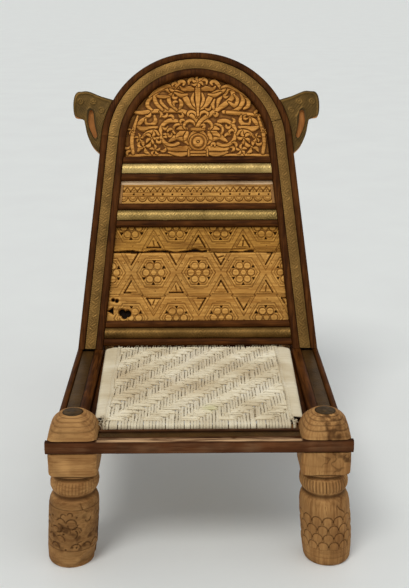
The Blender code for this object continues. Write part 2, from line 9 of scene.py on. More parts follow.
import itertools
import math

import bmesh
import bpy
import numpy as np
from mathutils import Matrix, Vector


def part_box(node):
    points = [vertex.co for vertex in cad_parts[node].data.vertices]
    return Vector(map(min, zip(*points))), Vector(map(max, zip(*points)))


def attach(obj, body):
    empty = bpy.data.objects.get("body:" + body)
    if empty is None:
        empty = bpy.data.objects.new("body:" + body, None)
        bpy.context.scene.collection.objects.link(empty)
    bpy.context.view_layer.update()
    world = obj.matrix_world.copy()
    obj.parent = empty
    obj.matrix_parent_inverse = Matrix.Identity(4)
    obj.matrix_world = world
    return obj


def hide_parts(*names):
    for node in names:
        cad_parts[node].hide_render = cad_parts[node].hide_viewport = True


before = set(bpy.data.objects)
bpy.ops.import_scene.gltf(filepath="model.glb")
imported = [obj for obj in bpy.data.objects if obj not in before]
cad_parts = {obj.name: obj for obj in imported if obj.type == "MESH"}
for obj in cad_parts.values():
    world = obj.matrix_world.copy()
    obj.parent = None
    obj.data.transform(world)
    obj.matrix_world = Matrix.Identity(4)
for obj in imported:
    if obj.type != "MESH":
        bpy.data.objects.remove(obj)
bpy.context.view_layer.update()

MM = 0.001
GAP = 0.0003
SIDES = ((-1, "left"), (1, "right"))

# Front legs.
LEG_X = 0.2245
LEG_Y = 0.0455
BLOCK_HALF = 0.045
BLOCK_BOTTOM = 0.187
DOME_BASE = 0.263
LEG_TOP = 0.294
BARREL_RADIUS = 0.0467
LEG_SPLAY = 0.07
CAP_RADIUS = 0.0185
CAP_THICKNESS = 0.003

# Rear legs.
REAR_LEG_Y = 0.529
REAR_BLOCK_HALF = 0.037
REAR_LEG_TOP = 0.262

# Seat frame.
RAIL_TOP = 0.257
RAIL_DEPTH = 0.045
SIDE_RAIL_OUTER = 0.2625
SIDE_RAIL_WIDTH = 0.057
SIDE_RAIL_BEAD = 0.0125
SIDE_RAIL_STRIP = 0.0240
FRONT_RAIL_FRONT = 0.0125
FRONT_RAIL_BACK = 0.053
FRONT_RAIL_BOTTOM = 0.229
FRONT_RAIL_BEAD = 0.0095
FRONT_RAIL_STRIP = 0.0220
LATH_HALF_LENGTH = 0.271
LATH_BOTTOM = 0.2325
LATH_TOP = 0.2555
LATH_THICKNESS = 0.012
LATH_PROUD = 0.0015

# Bars under the cord, and the woven seat.
BAR_TOP = 0.2485
BAR_HEIGHT = 0.020
BAR_WIDTH = 0.022
SEAT_FRONT = 0.0545
SEAT_REAR = 0.462
SEAT_HALF_FRONT = 0.1905
SEAT_HALF_REAR = 0.2015
SEAT_TOP = 0.262
REAR_ROD_RADIUS = 0.0105
ROD_Y = SEAT_REAR - 0.012

# The leaning back.
BACK_Y = 0.444
RAKE = math.radians(25.0)
HOOP_RADIUS = 0.2145
ARCH_CENTRE = 0.459
STILE_LEAN = math.radians(5.7)
HOOP_BAND = 0.0545
HOOP_THICKNESS = 0.030
BEAD_OUTER = 0.0150
STRIP_WIDTH = 0.0230
CHANNEL_DEPTH = 0.0055
STRIP_THICKNESS = 0.0020
BACK_RAILS = {
    "lower": (0.0083, 0.0637),
    "middle": (0.2716, 0.3250),
    "upper": (0.3767, 0.4318),
}
BOARD_JOINT = 0.2155
LATH_STRIP_HEIGHT = 0.0080
PANEL_FRONT = 0.0100
PANEL_BACK = 0.0296
PANEL_END_WIDTH = 0.0055
BATTEN_X = 0.105
BATTEN_HALF = 0.018
BATTEN_THICKNESS = 0.011

SEAT_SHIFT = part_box("front_lath")[0][1] + LATH_PROUD
SEAT_PLACE = Matrix.Translation((0.0, SEAT_SHIFT, 0.0))
BACK_PLACE = Matrix.Translation((0.0, BACK_Y + SEAT_SHIFT, RAIL_TOP)) @ Matrix.Rotation(-RAKE, 4, "X")

# Where a moulded bar lies: its matrix, the axis through its thickness, and the way into the wood.
IN_BACK = (BACK_PLACE, 1, 1.0)
IN_SEAT = (SEAT_PLACE, 2, -1.0)


# ---------------------------------------------------------------- noise and curves


def lumps(points, size, seed=0):
    """Smooth noise from -1 to 1 at each row of points, in lumps of about that size."""
    grid = np.asarray(points, dtype=float) / size
    cell = np.floor(grid)
    blend = grid - cell
    blend = blend * blend * (3.0 - 2.0 * blend)
    total = np.zeros(grid.shape[:-1])
    for corner in itertools.product((0, 1), repeat=3):
        spot = cell + corner
        mixed = spot[..., 0] * 12.9898 + spot[..., 1] * 78.233 + spot[..., 2] * 37.719
        value = np.sin(mixed + seed * 4.137) * 43758.5453
        weight = np.ones(grid.shape[:-1])
        for axis, step in enumerate(corner):
            weight = weight * (blend[..., axis] if step else 1.0 - blend[..., axis])
        total += weight * (2.0 * (value - np.floor(value)) - 1.0)
    return total


def rough(points, size, seed=0, octaves=3):
    """Several sizes of lumps added together, from about -1 to 1."""
    total = 0.0
    for level in range(octaves):
        total = total + lumps(points, size / 2**level, seed + 17 * level) / 2**level
    return total / 1.6


def smooth_step(value, low, high):
    """0 up to low, 1 from high on, and a smooth change between; low may be the greater of the two."""
    share = np.clip((value - low) / (high - low), 0.0, 1.0)
    return share * share * (3.0 - 2.0 * share)


def curve_through(points, steps=7):
    """Points on a smooth curve through the given rows, of any number of values each."""
    given = np.asarray(points, dtype=float)
    padded = np.vstack([2 * given[0] - given[1], given, 2 * given[-1] - given[-2]])
    shares = np.arange(steps)[:, None] / steps
    made = []
    for before, start, end, after in zip(padded, padded[1:], padded[2:], padded[3:]):
        bend = 2 * before - 5 * start + 4 * end - after
        twist = 3 * start - before - 3 * end + after
        made.append(start + 0.5 * shares * (end - before + shares * (bend + shares * twist)))
    made.append(given[-1][None, :])
    return np.vstack(made)


def turned(centre, radius, degrees):
    """The point at that distance and compass angle from a centre."""
    angle = math.radians(degrees)
    return (centre[0] + radius * math.cos(angle), centre[1] + radius * math.sin(angle))


def even_points(points, count, measured=None):
    """That many points at equal distances along a line of points.

    The distance counts all their values, or only the first few where measured says how many.
    """
    points = np.asarray(points, dtype=float)
    lengths = np.linalg.norm(np.diff(points[:, :measured], axis=0), axis=1)
    lengths = np.concatenate([[0.0], np.cumsum(lengths)])
    places = np.linspace(0.0, lengths[-1], count)
    return np.stack([np.interp(places, lengths, column) for column in points.T], axis=1)


def grid_of(x, y, z):
    """Rows of points from coordinates that are spread over one another."""
    return np.stack(np.broadcast_arrays(x, y, z), axis=-1)


def half_width(s, inset=0.0):
    """Half the back's width at heights up its slope, that far in from the hoop's outer edge."""
    s = np.asarray(s, dtype=float)
    radius = HOOP_RADIUS - inset
    tangent = ARCH_CENTRE + radius * math.sin(STILE_LEAN)
    straight = (radius + (ARCH_CENTRE - s) * math.sin(STILE_LEAN)) / math.cos(STILE_LEAN)
    curved = np.sqrt(np.maximum(0.0, radius**2 - (s - ARCH_CENTRE) ** 2))
    return np.where(s <= tangent, straight, curved)


# ---------------------------------------------------------------- meshes


def add_piece(name, node, points, place, look, marks, faces=None):
    """A mesh piece on the root body that stands for a CAD node.

    The points are rings of a closed bar, unless faces are given. marks holds one number per vertex
    under each name, which the materials read.
    """
    if faces is None:
        faces = capped_loft_faces(*points.shape[:2])
    slot, material = LOOKS[look]
    mesh = bpy.data.meshes.new(name)
    mesh.from_pydata(points.reshape(-1, 3).tolist(), [], faces)
    mesh.update()
    solid = bmesh.new()
    solid.from_mesh(mesh)
    if solid.calc_volume(signed=True) < 0:
        bmesh.ops.reverse_faces(solid, faces=solid.faces)
        solid.to_mesh(mesh)
    solid.free()
    for label, values in marks.items():
        layer = mesh.attributes.new(label, "FLOAT", "POINT")
        layer.data.foreach_set("value", values.astype(np.float32).ravel())
    mesh.materials.append(material)
    mesh.shade_smooth()
    mesh.set_sharp_from_angle(angle=math.radians(42.0))
    piece = stand_at(name, mesh, place)
    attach(piece, "root")
    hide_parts(node)


def loft_faces(rows, columns, closed=True):
    """Quads between rings of a loft; closed joins the last column to the first."""
    faces = []
    for low in range(0, (rows - 1) * columns, columns):
        for k in range(columns if closed else columns - 1):
            after = (k + 1) % columns
            faces.append((low + k, low + after, low + columns + after, low + columns + k))
    return faces


def capped_loft_faces(rows, columns):
    """The faces of a loft through closed rings, with a cap on each end."""
    caps = [tuple(reversed(range(columns))), tuple(range((rows - 1) * columns, rows * columns))]
    return loft_faces(rows, columns) + caps


def plate_from_grid(grid, back):
    """Vertices and faces of a closed body: a shaped front grid, and its rim carried back to a plane."""
    rows, columns = grid.shape[:2]
    front = grid.reshape(-1, 3)
    order = np.arange(len(front)).reshape(rows, columns)
    rim = np.concatenate([order[0], order[1:, -1], order[-1, -2::-1], order[-2:0:-1, 0]]).tolist()
    behind = front[rim].copy()
    behind[:, 1] = back
    first = len(front)
    faces = loft_faces(rows, columns, closed=False)
    for k in range(len(rim)):
        after = (k + 1) % len(rim)
        faces.append((rim[after], rim[k], first + k, first + after))
    faces.append(tuple(range(first, first + len(rim))))
    return np.vstack([front, behind]), faces


def box_blur(field, reach):
    """The mean of a field over a square of cells, edges repeated."""
    for axis in (0, 1):
        padding = [(0, 0), (0, 0)]
        padding[axis] = (reach + 1, reach)
        sums = np.cumsum(np.pad(field, padding, mode="edge"), axis=axis)
        length = field.shape[axis]
        high = np.take(sums, np.arange(2 * reach + 1, 2 * reach + 1 + length), axis=axis)
        low = np.take(sums, np.arange(length), axis=axis)
        field = (high - low) / (2 * reach + 1)
    return field


class Relief:
    """Heights over a grid of places (x, s) on a carved face; s grows from row to row."""

    def __init__(self, x, s):
        self.x = x
        self.s = s
        self.height = np.zeros(x.shape)

    def rows_near(self, low, high):
        return slice(*np.searchsorted(self.s[:, 0], (low, high)).tolist())

    def spread(self, path, halves):
        """Rows near a path, and each place's distance from it as a share of the path's half width."""
        reach = 1.6 * max(halves)
        rows = self.rows_near(path[:, 1].min() - reach, path[:, 1].max() + reach)
        x = self.x[rows]
        s = self.s[rows]
        nearest = np.full(x.shape, 9.0)
        for k in range(len(path) - 1):
            step = path[k + 1] - path[k]
            length = max(1e-12, float(step @ step))
            along = ((x - path[k, 0]) * step[0] + (s - path[k, 1]) * step[1]) / length
            along = np.clip(along, 0.0, 1.0)
            gap_x = x - path[k, 0] - along * step[0]
            gap_s = s - path[k, 1] - along * step[1]
            half = halves[k] + (halves[k + 1] - halves[k]) * along
            nearest = np.minimum(nearest, np.hypot(gap_x, gap_s) / half)
        return rows, nearest

    def stroke(self, points, rise, valley=0.0, lobes=0, steps=6):
        """Raises a rounded band along a smooth curve through (x, s, half width) points.

        valley sinks a vein along its middle, and lobes notches its edges like a leaf's.
        """
        course = curve_through(points, steps)
        halves = np.maximum(course[:, 2], 0.0005)
        if lobes:
            share = np.linspace(0.0, 1.0, len(halves))
            halves = halves * (0.86 + 0.2 * np.abs(np.sin(math.pi * lobes * share)))
        rows, nearest = self.spread(course[:, :2], halves)
        body = smooth_step(1.0 - nearest, 0.0, 0.34) * (1.0 - 0.22 * nearest**2)
        body = body - valley * np.exp(-((nearest / 0.26) ** 2))
        moat = smooth_step(1.28 - nearest, 0.0, 0.2) * (nearest > 1.0)
        level = self.height[rows] * (1.0 - 0.75 * moat)
        self.height[rows] = np.where(nearest <= 1.0, np.maximum(rise * body, level * 0.25), level)

    def disc(self, centre, radius, rise, dish=0.0):
        """A round boss, or with dish a button sunk in its middle, with a moat round it."""
        rows = self.rows_near(centre[1] - 1.5 * radius, centre[1] + 1.5 * radius)
        away = np.hypot(self.x[rows] - centre[0], self.s[rows] - centre[1]) / radius
        body = rise * smooth_step(1.0 - away, 0.0, 0.3) * (1.0 - 0.15 * away**2)
        body = body - dish * np.exp(-((away / 0.45) ** 2))
        moat = smooth_step(1.3 - away, 0.0, 0.2) * (away > 1.0)
        level = self.height[rows] * (1.0 - 0.75 * moat)
        self.height[rows] = np.where(away <= 1.0, body, level)

    def groove(self, points, width, depth):
        """Cuts a V groove along straight lines through (x, s) points."""
        course = np.asarray(points, dtype=float)
        rows, nearest = self.spread(course, np.full(len(course), width / 2))
        self.height[rows] -= depth * np.exp(-(nearest**2) * 1.1)

    def ring_groove(self, centre, radius, width, depth, start=0.0, end=360.0):
        angles = np.linspace(start, end, max(6, int((end - start) / 18)))
        self.groove([turned(centre, radius, degrees) for degrees in angles], width, depth)

    def drill(self, centre, radius, depth, sides=0, turn=0.0):
        """A pit: round, or with three sides a chip-carved triangle."""
        rows = self.rows_near(centre[1] - 2 * radius, centre[1] + 2 * radius)
        gap_x = self.x[rows] - centre[0]
        gap_s = self.s[rows] - centre[1]
        away = np.hypot(gap_x, gap_s) / radius
        if sides:
            sector = math.tau / sides
            angle = np.mod(np.arctan2(gap_s, gap_x) - turn + sector / 2, sector) - sector / 2
            away = away * np.cos(angle) / math.cos(sector / 2) * 0.8
        pit = np.minimum(self.height[rows], -depth * smooth_step(1.05 - away, 0.0, 0.6))
        self.height[rows] = np.where(away < 1.05, pit, self.height[rows])

    def hollows(self, reach=3, scale=0.0012):
        """How far each place lies below its surroundings, from 0 to 1."""
        wide = box_blur(box_blur(self.height, reach), reach)
        tight = box_blur(self.height, max(1, reach // 2))
        below = 0.6 * (wide - self.height) + 0.4 * (tight - self.height)
        return np.clip(below / scale, 0.0, 1.0)

    def crests(self, reach=3, scale=0.0009):
        """How far each place stands above its surroundings, from 0 to 1."""
        wide = box_blur(box_blur(self.height, reach), reach)
        return np.clip((self.height - wide) / scale, 0.0, 1.0)


# ---------------------------------------------------------------- materials


def add_node(tree, kind, inputs=None, **settings):
    """A shader node with its inputs set to values, or linked where the value is a socket."""
    made = tree.nodes.new("ShaderNode" + kind)
    for label, value in settings.items():
        setattr(made, label, value)
    for label, value in (inputs or {}).items():
        if isinstance(value, bpy.types.NodeSocket):
            tree.links.new(value, made.inputs[label])
        else:
            made.inputs[label].default_value = value
    return made


def colour_ramp(tree, value, stops):
    """A colour along a value, from (position, colour) stops."""
    made = add_node(tree, "ValToRGB", {"Fac": value})
    band = made.color_ramp
    while len(band.elements) < len(stops):
        band.elements.new(0.5)
    for element, (position, colour) in zip(band.elements, stops):
        element.position = position
        element.color = (*colour, 1.0)
    return made.outputs[0]


def scaled(colour, share):
    """A colour made brighter or darker."""
    return tuple(min(1.0, share * channel) for channel in colour)


class Shade:
    """One material, with short ways to build its colour, roughness and bump."""

    def __init__(self, name, roughness=0.7, metallic=0.0, shine=0.3):
        self.material = bpy.data.materials.new(name)
        self.material.use_nodes = True
        self.tree = self.material.node_tree
        self.shader = self.tree.nodes["Principled BSDF"]
        settings = {"Roughness": roughness, "Metallic": metallic, "Specular IOR Level": shine}
        for label, value in settings.items():
            self.shader.inputs[label].default_value = value
        self.place = add_node(self.tree, "TexCoord").outputs["Object"]

    def link(self, value, label):
        self.tree.links.new(value, self.shader.inputs[label])

    def noise(self, scale, detail=4.0, distortion=0.0, offset=0.0):
        """Noise whose lumps are 1 / scale metres, or along each axis where scale holds three numbers."""
        mapping = add_node(self.tree, "Mapping", {"Vector": self.place})
        mapping.inputs["Scale"].default_value = scale if isinstance(scale, tuple) else (scale,) * 3
        mapping.inputs["Location"].default_value = (offset, offset * 0.7, offset * 1.3)
        settings = {"Scale": 1.0, "Detail": detail, "Distortion": distortion, "Roughness": 0.55}
        return add_node(self.tree, "TexNoise", {"Vector": mapping.outputs[0], **settings}).outputs[0]

    def window(self, value, low, high):
        """0 below low and 1 above high, smoothly."""
        settings = {"Value": value, "From Min": low, "From Max": high}
        return add_node(self.tree, "MapRange", settings, interpolation_type="SMOOTHSTEP").outputs[0]

    def math(self, operation, first, second):
        return add_node(self.tree, "Math", {0: first, 1: second}, operation=operation).outputs[0]

    def blend(self, first, second, share):
        """The sum of two values, the second weighed by share and the first by the rest."""
        weighed = self.math("MULTIPLY", first, 1.0 - share)
        return self.math("ADD", weighed, self.math("MULTIPLY", second, share))

    def mark(self, label):
        return add_node(self.tree, "Attribute", attribute_name=label).outputs["Fac"]

    def start(self, value, stops):
        """The first coat: colours along a value."""
        self.coat = colour_ramp(self.tree, value, stops)

    def paint(self, share, amount, colour):
        """Lays a colour over the coats so far, as strongly as share times amount."""
        if amount != 1.0:
            share = self.math("MULTIPLY", share, amount)
        made = add_node(self.tree, "Mix", {0: share, 6: self.coat, 7: (*colour, 1.0)}, data_type="RGBA")
        self.coat = made.outputs[2]

    def finish(self, bumps, strength, depth, gloss=None, span=(0.0, 1.0)):
        """Links the coats, the bumps and the roughness, and gives the material."""
        self.link(self.coat, "Base Color")
        if gloss:
            settings = {"Value": gloss, "To Min": span[0], "To Max": span[1]}
            self.link(add_node(self.tree, "MapRange", settings).outputs[0], "Roughness")
        settings = {"Height": bumps, "Strength": strength, "Distance": depth}
        self.link(add_node(self.tree, "Bump", settings).outputs[0], "Normal")
        return self.material


def wood(name, axis, palette, offset, roughness, fibre, shine=0.12, bare=None):
    """Old wood: streaks and pores along one axis, dirt and painted shade in its hollows, and pale worn crests
    that are partly painted highlight.
    """
    light, middle, dark, dirt_and_shade = palette

    def grain(along, across, detail, distortion, shift):
        scale = tuple(along if k == axis else across for k in range(3))
        return shade.noise(scale, detail, distortion, offset + shift)

    shade = Shade(name, shine=shine)
    broad = grain(5.0, 38.0, 3.0, 0.6, 0.0)
    streaks = grain(14.0, 260.0, 5.0, 0.3, 3.0)
    pores = grain(70.0, 1300.0, 2.0, 0.0, 5.0)
    shade.start(shade.blend(broad, streaks, 0.3), ((0.30, dark), (0.50, middle), (0.70, light)))
    darker = scaled(dark, 0.55)
    shade.paint(shade.math("SUBTRACT", 1.0, shade.window(pores, 0.30, 0.44)), 0.4, darker)
    blotches = shade.noise(16.0, 4.0, 0.4, offset + 9.0)
    shade.paint(shade.window(blotches, 0.48, 0.70), 0.42, darker)
    # Pale worn crests: real wear, partly a painted highlight on raised carving and bead edges.
    wear_and_highlight = shade.math("MULTIPLY", shade.mark("wear_and_highlight"), shade.window(streaks, 0.36, 0.6))
    shade.paint(wear_and_highlight, 0.75, bare or scaled(light, 1.4))
    # Real dirt, and painted shade in hollows, grooves and seams.
    shade.paint(shade.mark("dirt_and_shade"), 0.9, dirt_and_shade)
    # Near black where that mark is highest: painted shade in deep holes and the darkest seams.
    shade.paint(shade.window(shade.mark("dirt_and_shade"), 0.88, 1.0), 1.0, scaled(dirt_and_shade, 0.12))
    bumps = shade.math("ADD", streaks, shade.math("MULTIPLY", pores, 0.5))
    return shade.finish(bumps, fibre, 0.0006, streaks, roughness)


def aged_brass(name, offset, gold, olive):
    """Worn sheet brass: gold crests, olive patina, brown dirt in the embossing."""
    shade = Shade(name, metallic=0.9)
    broad = shade.noise(22.0, 4.0, 0.3, offset)
    fine = shade.noise(420.0, 3.0, 0.0, offset + 2.0)
    tarnish = (0.045, 0.030, 0.012)
    shade.start(shade.blend(broad, fine, 0.4), ((0.36, olive), (0.64, gold)))
    shade.paint(shade.window(fine, 0.56, 0.70), 0.55, tarnish)
    shade.paint(shade.mark("wear_and_highlight"), 0.7, scaled(gold, 1.35))
    shade.paint(shade.mark("dirt_and_shade"), 0.92, tarnish)
    return shade.finish(shade.math("ADD", fine, broad), 0.35, 0.0005, fine, (0.34, 0.62))


def cotton(name):
    """Undyed cotton cord: soft fibres, hairy grain, grey wear, a few old stains, and painted shade where the
    cords dip under others.
    """
    shade = Shade(name, roughness=0.95)
    fibres = shade.noise(900.0, 3.0)
    creams = ((0.34, (0.66, 0.55, 0.36)), (0.52, (0.82, 0.73, 0.53)), (0.7, (0.90, 0.83, 0.66)))
    shade.start(shade.noise(11.0, 3.0, 0.3), creams)
    shade.paint(shade.mark("tint"), 0.5, (0.48, 0.385, 0.23))
    shade.paint(shade.window(fibres, 0.52, 0.7), 0.3, (0.95, 0.90, 0.78))
    shade.paint(shade.mark("stain"), 0.75, (0.50, 0.36, 0.19))
    shade.paint(shade.mark("moss"), 0.7, (0.58, 0.57, 0.24))
    # Real grime, and painted shade where the cords dip under their neighbours.
    shade.paint(shade.mark("dirt_and_shade"), 0.8, (0.26, 0.19, 0.10))
    shade.shader.inputs["Sheen Weight"].default_value = 0.15
    return shade.finish(fibres, 0.5, 0.0006)


# Each wood's light, middle and dark streaks, and its colour for dirt and painted shade.
TAN = ((0.46, 0.25, 0.090), (0.335, 0.163, 0.053), (0.19, 0.077, 0.021), (0.046, 0.016, 0.003))
GOLD = ((0.58, 0.31, 0.078), (0.46, 0.217, 0.044), (0.33, 0.130, 0.019), (0.070, 0.020, 0.002))
BARK = ((0.100, 0.033, 0.006), (0.051, 0.0145, 0.0015), (0.023, 0.0055, 0.0006), (0.012, 0.004, 0.0008))
ARCH = ((0.58, 0.275, 0.065), (0.44, 0.190, 0.033), (0.30, 0.110, 0.014), (0.075, 0.020, 0.003))
UPPER = ((0.49, 0.250, 0.050), (0.37, 0.170, 0.027), (0.24, 0.095, 0.012), GOLD[3])
PALE = ((0.74, 0.52, 0.32), (0.60, 0.40, 0.23), (0.40, 0.24, 0.12), TAN[3])
EAR = ((0.55, 0.24, 0.06), (0.42, 0.16, 0.04), (0.25, 0.09, 0.02), TAN[3])
LATH = ((0.150, 0.056, 0.020), (0.085, 0.028, 0.009), (0.040, 0.012, 0.003), BARK[3])

# Each look's part slot and material. In the axes, 0 is across the chair, 1 front to back and 2 up.
LOOKS = {
    "dark_across": ("dark_wood", wood("dark_wood_across", 0, BARK, 0.0, (0.42, 0.7), 0.3, 0.06)),
    "dark_along": ("dark_wood", wood("dark_wood_along", 1, BARK, 4.0, (0.42, 0.7), 0.3, 0.06)),
    "dark_upright": ("dark_wood", wood("dark_wood_upright", 2, BARK, 7.0, (0.42, 0.7), 0.3, 0.06)),
    "lath": ("dark_wood", wood("lath_wood", 0, LATH, 17.0, (0.45, 0.7), 0.3, 0.05, (0.60, 0.38, 0.20))),
    "front_rail": ("dark_wood", wood("front_rail_wood", 0, BARK, 19.0, (0.4, 0.7), 0.3, 0.06,
                                     (0.50, 0.30, 0.16))),
    "tan_upright": ("pale_wood", wood("tan_wood_upright", 2, TAN, 1.0, (0.6, 0.9), 0.4)),
    "tan_across": ("pale_wood", wood("tan_wood_across", 0, TAN, 2.0, (0.6, 0.9), 0.4)),
    "leg_left": ("pale_wood", wood("left_leg_wood", 0, TAN, 12.0, (0.6, 0.9), 0.5)),
    "leg_right": ("pale_wood", wood("right_leg_wood", 2, TAN, 15.0, (0.6, 0.9), 0.4)),
    "ear": ("pale_wood", wood("ear_wood", 2, EAR, 0.0, (0.5, 0.8), 0.35)),
    "carved": ("carved_wood", wood("carved_wood", 0, GOLD, 3.0, (0.5, 0.82), 0.3)),
    "arch": ("carved_wood", wood("arch_wood", 0, ARCH, 21.0, (0.5, 0.82), 0.25)),
    "upper_board": ("carved_wood", wood("upper_board_wood", 0, UPPER, 23.0, (0.5, 0.82), 0.25)),
    "pale_lath": ("carved_wood", wood("pale_lath_wood", 0, PALE, 25.0, (0.6, 0.9), 0.3)),
    # A brighter copy of the brass: partly a painted highlight on the upper rail.
    "bright_brass_painted_highlight": ("aged_brass", aged_brass("bright_brass_painted_highlight", 2.0, (0.84, 0.60, 0.23), (0.40, 0.27, 0.09))),
    "brass": ("aged_brass", aged_brass("aged_brass", 0.0, (0.54, 0.36, 0.12), (0.22, 0.140, 0.040))),
    # A darker copy of the brass: partly painted shade, used on the hoop and the lowest rail.
    "dull_brass_painted_shade": ("aged_brass", aged_brass("dull_brass_painted_shade", 5.0, (0.24, 0.132, 0.036), (0.095, 0.050, 0.013))),
    "iron": ("aged_brass", aged_brass("dark_brass", 9.0, (0.16, 0.085, 0.024), (0.058, 0.030, 0.008))),
    "ear_brass": ("aged_brass", aged_brass("ear_brass_skin", 13.0, (0.165, 0.092, 0.024),
                                           (0.056, 0.031, 0.007))),
    "cotton": ("cotton_cord", cotton("cotton_cord")),
}
LOOKS["filler"] = ("carved_wood", LOOKS["tan_upright"][1])


# ---------------------------------------------------------------- camera, floor and lights


def stand_at(name, data, matrix=None):
    """An object of that name in the scene, moved by the matrix."""
    thing = bpy.data.objects.new(name, data)
    bpy.context.scene.collection.objects.link(thing)
    if matrix:
        thing.matrix_world = matrix
    return thing


def add_camera():
    """A camera on a tripod in front of the chair, looking down at it."""
    data = bpy.data.cameras.new("camera")
    data.lens = 59.8
    data.clip_end = 1000.0
    place = Matrix.Translation((-0.0104, SEAT_SHIFT - 1.5435, 1.029))
    for degrees, axis in ((-0.72, "Z"), (90.0 - 18.0, "X"), (-0.05, "Z")):
        place = place @ Matrix.Rotation(math.radians(degrees), 4, axis)
    bpy.context.scene.camera = stand_at("camera", data, place)


def add_floor():
    """A wide pale floor with a faint mottle."""
    half = 400.0
    mesh = bpy.data.meshes.new("floor")
    corners = [(-half, -half, 0.0), (half, -half, 0.0), (half, half, 0.0), (-half, half, 0.0)]
    mesh.from_pydata(corners, [], [(0, 1, 2, 3)])
    shade = Shade("floor_paint", roughness=0.55)
    shade.start(shade.noise(3.0, 5.0, 0.2), ((0.3, (0.82, 0.84, 0.83)), (0.7, (0.85, 0.875, 0.86))))
    shade.link(shade.coat, "Base Color")
    mesh.materials.append(shade.material)
    stand_at("floor", mesh)


def add_sun(name, azimuth, elevation, strength, softness, colour):
    """A soft directional light from that compass angle (0 is in front) and height."""
    data = bpy.data.lights.new(name, "SUN")
    data.energy = strength
    data.angle = math.radians(softness)
    data.color = colour
    turn = math.radians(azimuth)
    rise = math.radians(elevation)
    toward = Vector((math.sin(turn) * math.cos(rise), -math.cos(turn) * math.cos(rise), math.sin(rise)))
    stand_at(name, data, toward.to_track_quat("Z", "Y").to_matrix().to_4x4())


def add_world():
    """A pale room: brightest at the horizon, where it meets the floor."""
    world = bpy.data.worlds.new("studio")
    bpy.context.scene.world = world
    world.use_nodes = True
    tree = world.node_tree
    place = add_node(tree, "TexCoord").outputs["Generated"]
    height = add_node(tree, "SeparateXYZ", {"Vector": place}).outputs["Z"]
    stops = (
        (0.0, (0.69, 0.71, 0.70)),
        (0.10, (0.60, 0.615, 0.61)),
        (0.40, (0.47, 0.475, 0.48)),
        (1.0, (0.5, 0.5, 0.5)),
    )
    tree.links.new(colour_ramp(tree, height, stops), tree.nodes["Background"].inputs["Color"])


def add_studio():
    bpy.context.scene.view_settings.view_transform = "Standard"
    add_camera()
    add_floor()
    add_world()
    add_sun("key", -30.0, 56.0, 1.15, 22.0, (1.0, 0.985, 0.95))
    add_sun("fill", 55.0, 50.0, 0.3, 60.0, (0.95, 0.98, 1.0))


# ---------------------------------------------------------------- carved panels


PITCH = 0.00105
PANEL_INSET = HOOP_BAND + GAP


def board_relief(s, columns, ends=0.0):
    """A relief over a board between the stiles, its rows at the given slope heights."""
    reach = half_width(s, PANEL_INSET) - ends
    share = np.linspace(-1.0, 1.0, columns)
    return Relief(reach[:, None] * share[None, :], np.repeat(s[:, None], columns, axis=1))


def panel_relief(low, high, ends=0.0):
    """A relief over a board from one slope height to another, short of the stiles by ends."""
    columns = int(2 * float(half_width(low, PANEL_INSET)) / PITCH) + 1
    return board_relief(np.linspace(low, high, int((high - low) / PITCH) + 1), columns, ends)


def arch_relief(low):
    """A relief over the board that fills the arch, its rows closer together near the top."""
    radius = HOOP_RADIUS - PANEL_INSET
    spring = ARCH_CENTRE + radius * math.sin(STILE_LEAN)
    straight = np.linspace(low, spring, int((spring - low) / PITCH), endpoint=False)
    turns = np.linspace(STILE_LEAN, math.radians(89.3), 225)
    return board_relief(np.concatenate([straight, ARCH_CENTRE + radius * np.sin(turns)]), 300)


def carve_piece(name, node, relief, look, face=PANEL_FRONT, seed=0, warp=0.0004, grime_and_shade=0.95, floor_shade=0.0):
    """A board whose front follows a relief measured out from the face depth."""
    points = grid_of(relief.x, 0.0, relief.s)
    waver = warp * rough(points, 0.03, seed) + 0.00012 * lumps(points * (1.0, 1.0, 3.0), 0.006, seed + 5)
    points[:, :, 1] = face - relief.height - waver
    # Painted shade: hollows, the low ground between strokes and everything sunk below the face are darkened;
    # the patches are real dirt.
    hollow = relief.hollows()
    deep = floor_shade * smooth_step(0.0012 - relief.height, 0.0, 0.0012)
    blotched = 1.0 + 0.5 * rough(points, 0.03, seed + 9)
    patches = 0.22 * smooth_step(rough(points, 0.035, seed + 15), 0.1, 0.7)
    below = 0.2 * np.clip(-relief.height / 0.004, 0.0, 1.0)
    dirt_and_shade = np.clip((grime_and_shade * hollow + deep) * blotched + below + patches, 0.0, 0.86)
    # Painted shade: deep holes and pits go near black.
    dirt_and_shade = np.maximum(dirt_and_shade, smooth_step(-relief.height, 0.0055, 0.009))
    # Pale worn crests, partly a painted highlight on the raised carving.
    wear_and_highlight = np.clip(1.0 - 2.2 * hollow, 0.0, 1.0) * (0.25 + 0.75 * relief.crests())
    vertices, faces = plate_from_grid(points, PANEL_BACK)
    plain = np.zeros(len(vertices) - dirt_and_shade.size)
    marks = {"dirt_and_shade": np.concatenate([dirt_and_shade.ravel(), plain]), "wear_and_highlight": np.concatenate([wear_and_highlight.ravel(), plain])}
    add_piece(name, node, vertices, BACK_PLACE, look, marks, faces)


ARCH_AXIS = 3.0
ARCH_RISE = 5.2 * MM
ARCH_WIDEN = 1.25


def arch_points(points, side=1):
    """Carving points given in mm from the board's middle and its lower edge, mirrored for side -1."""
    base = BACK_RAILS["upper"][1]
    return [
        [(ARCH_AXIS + side * x) * MM, base + h * MM, *(ARCH_WIDEN * half * MM for half in rest)]
        for x, h, *rest in points
    ]


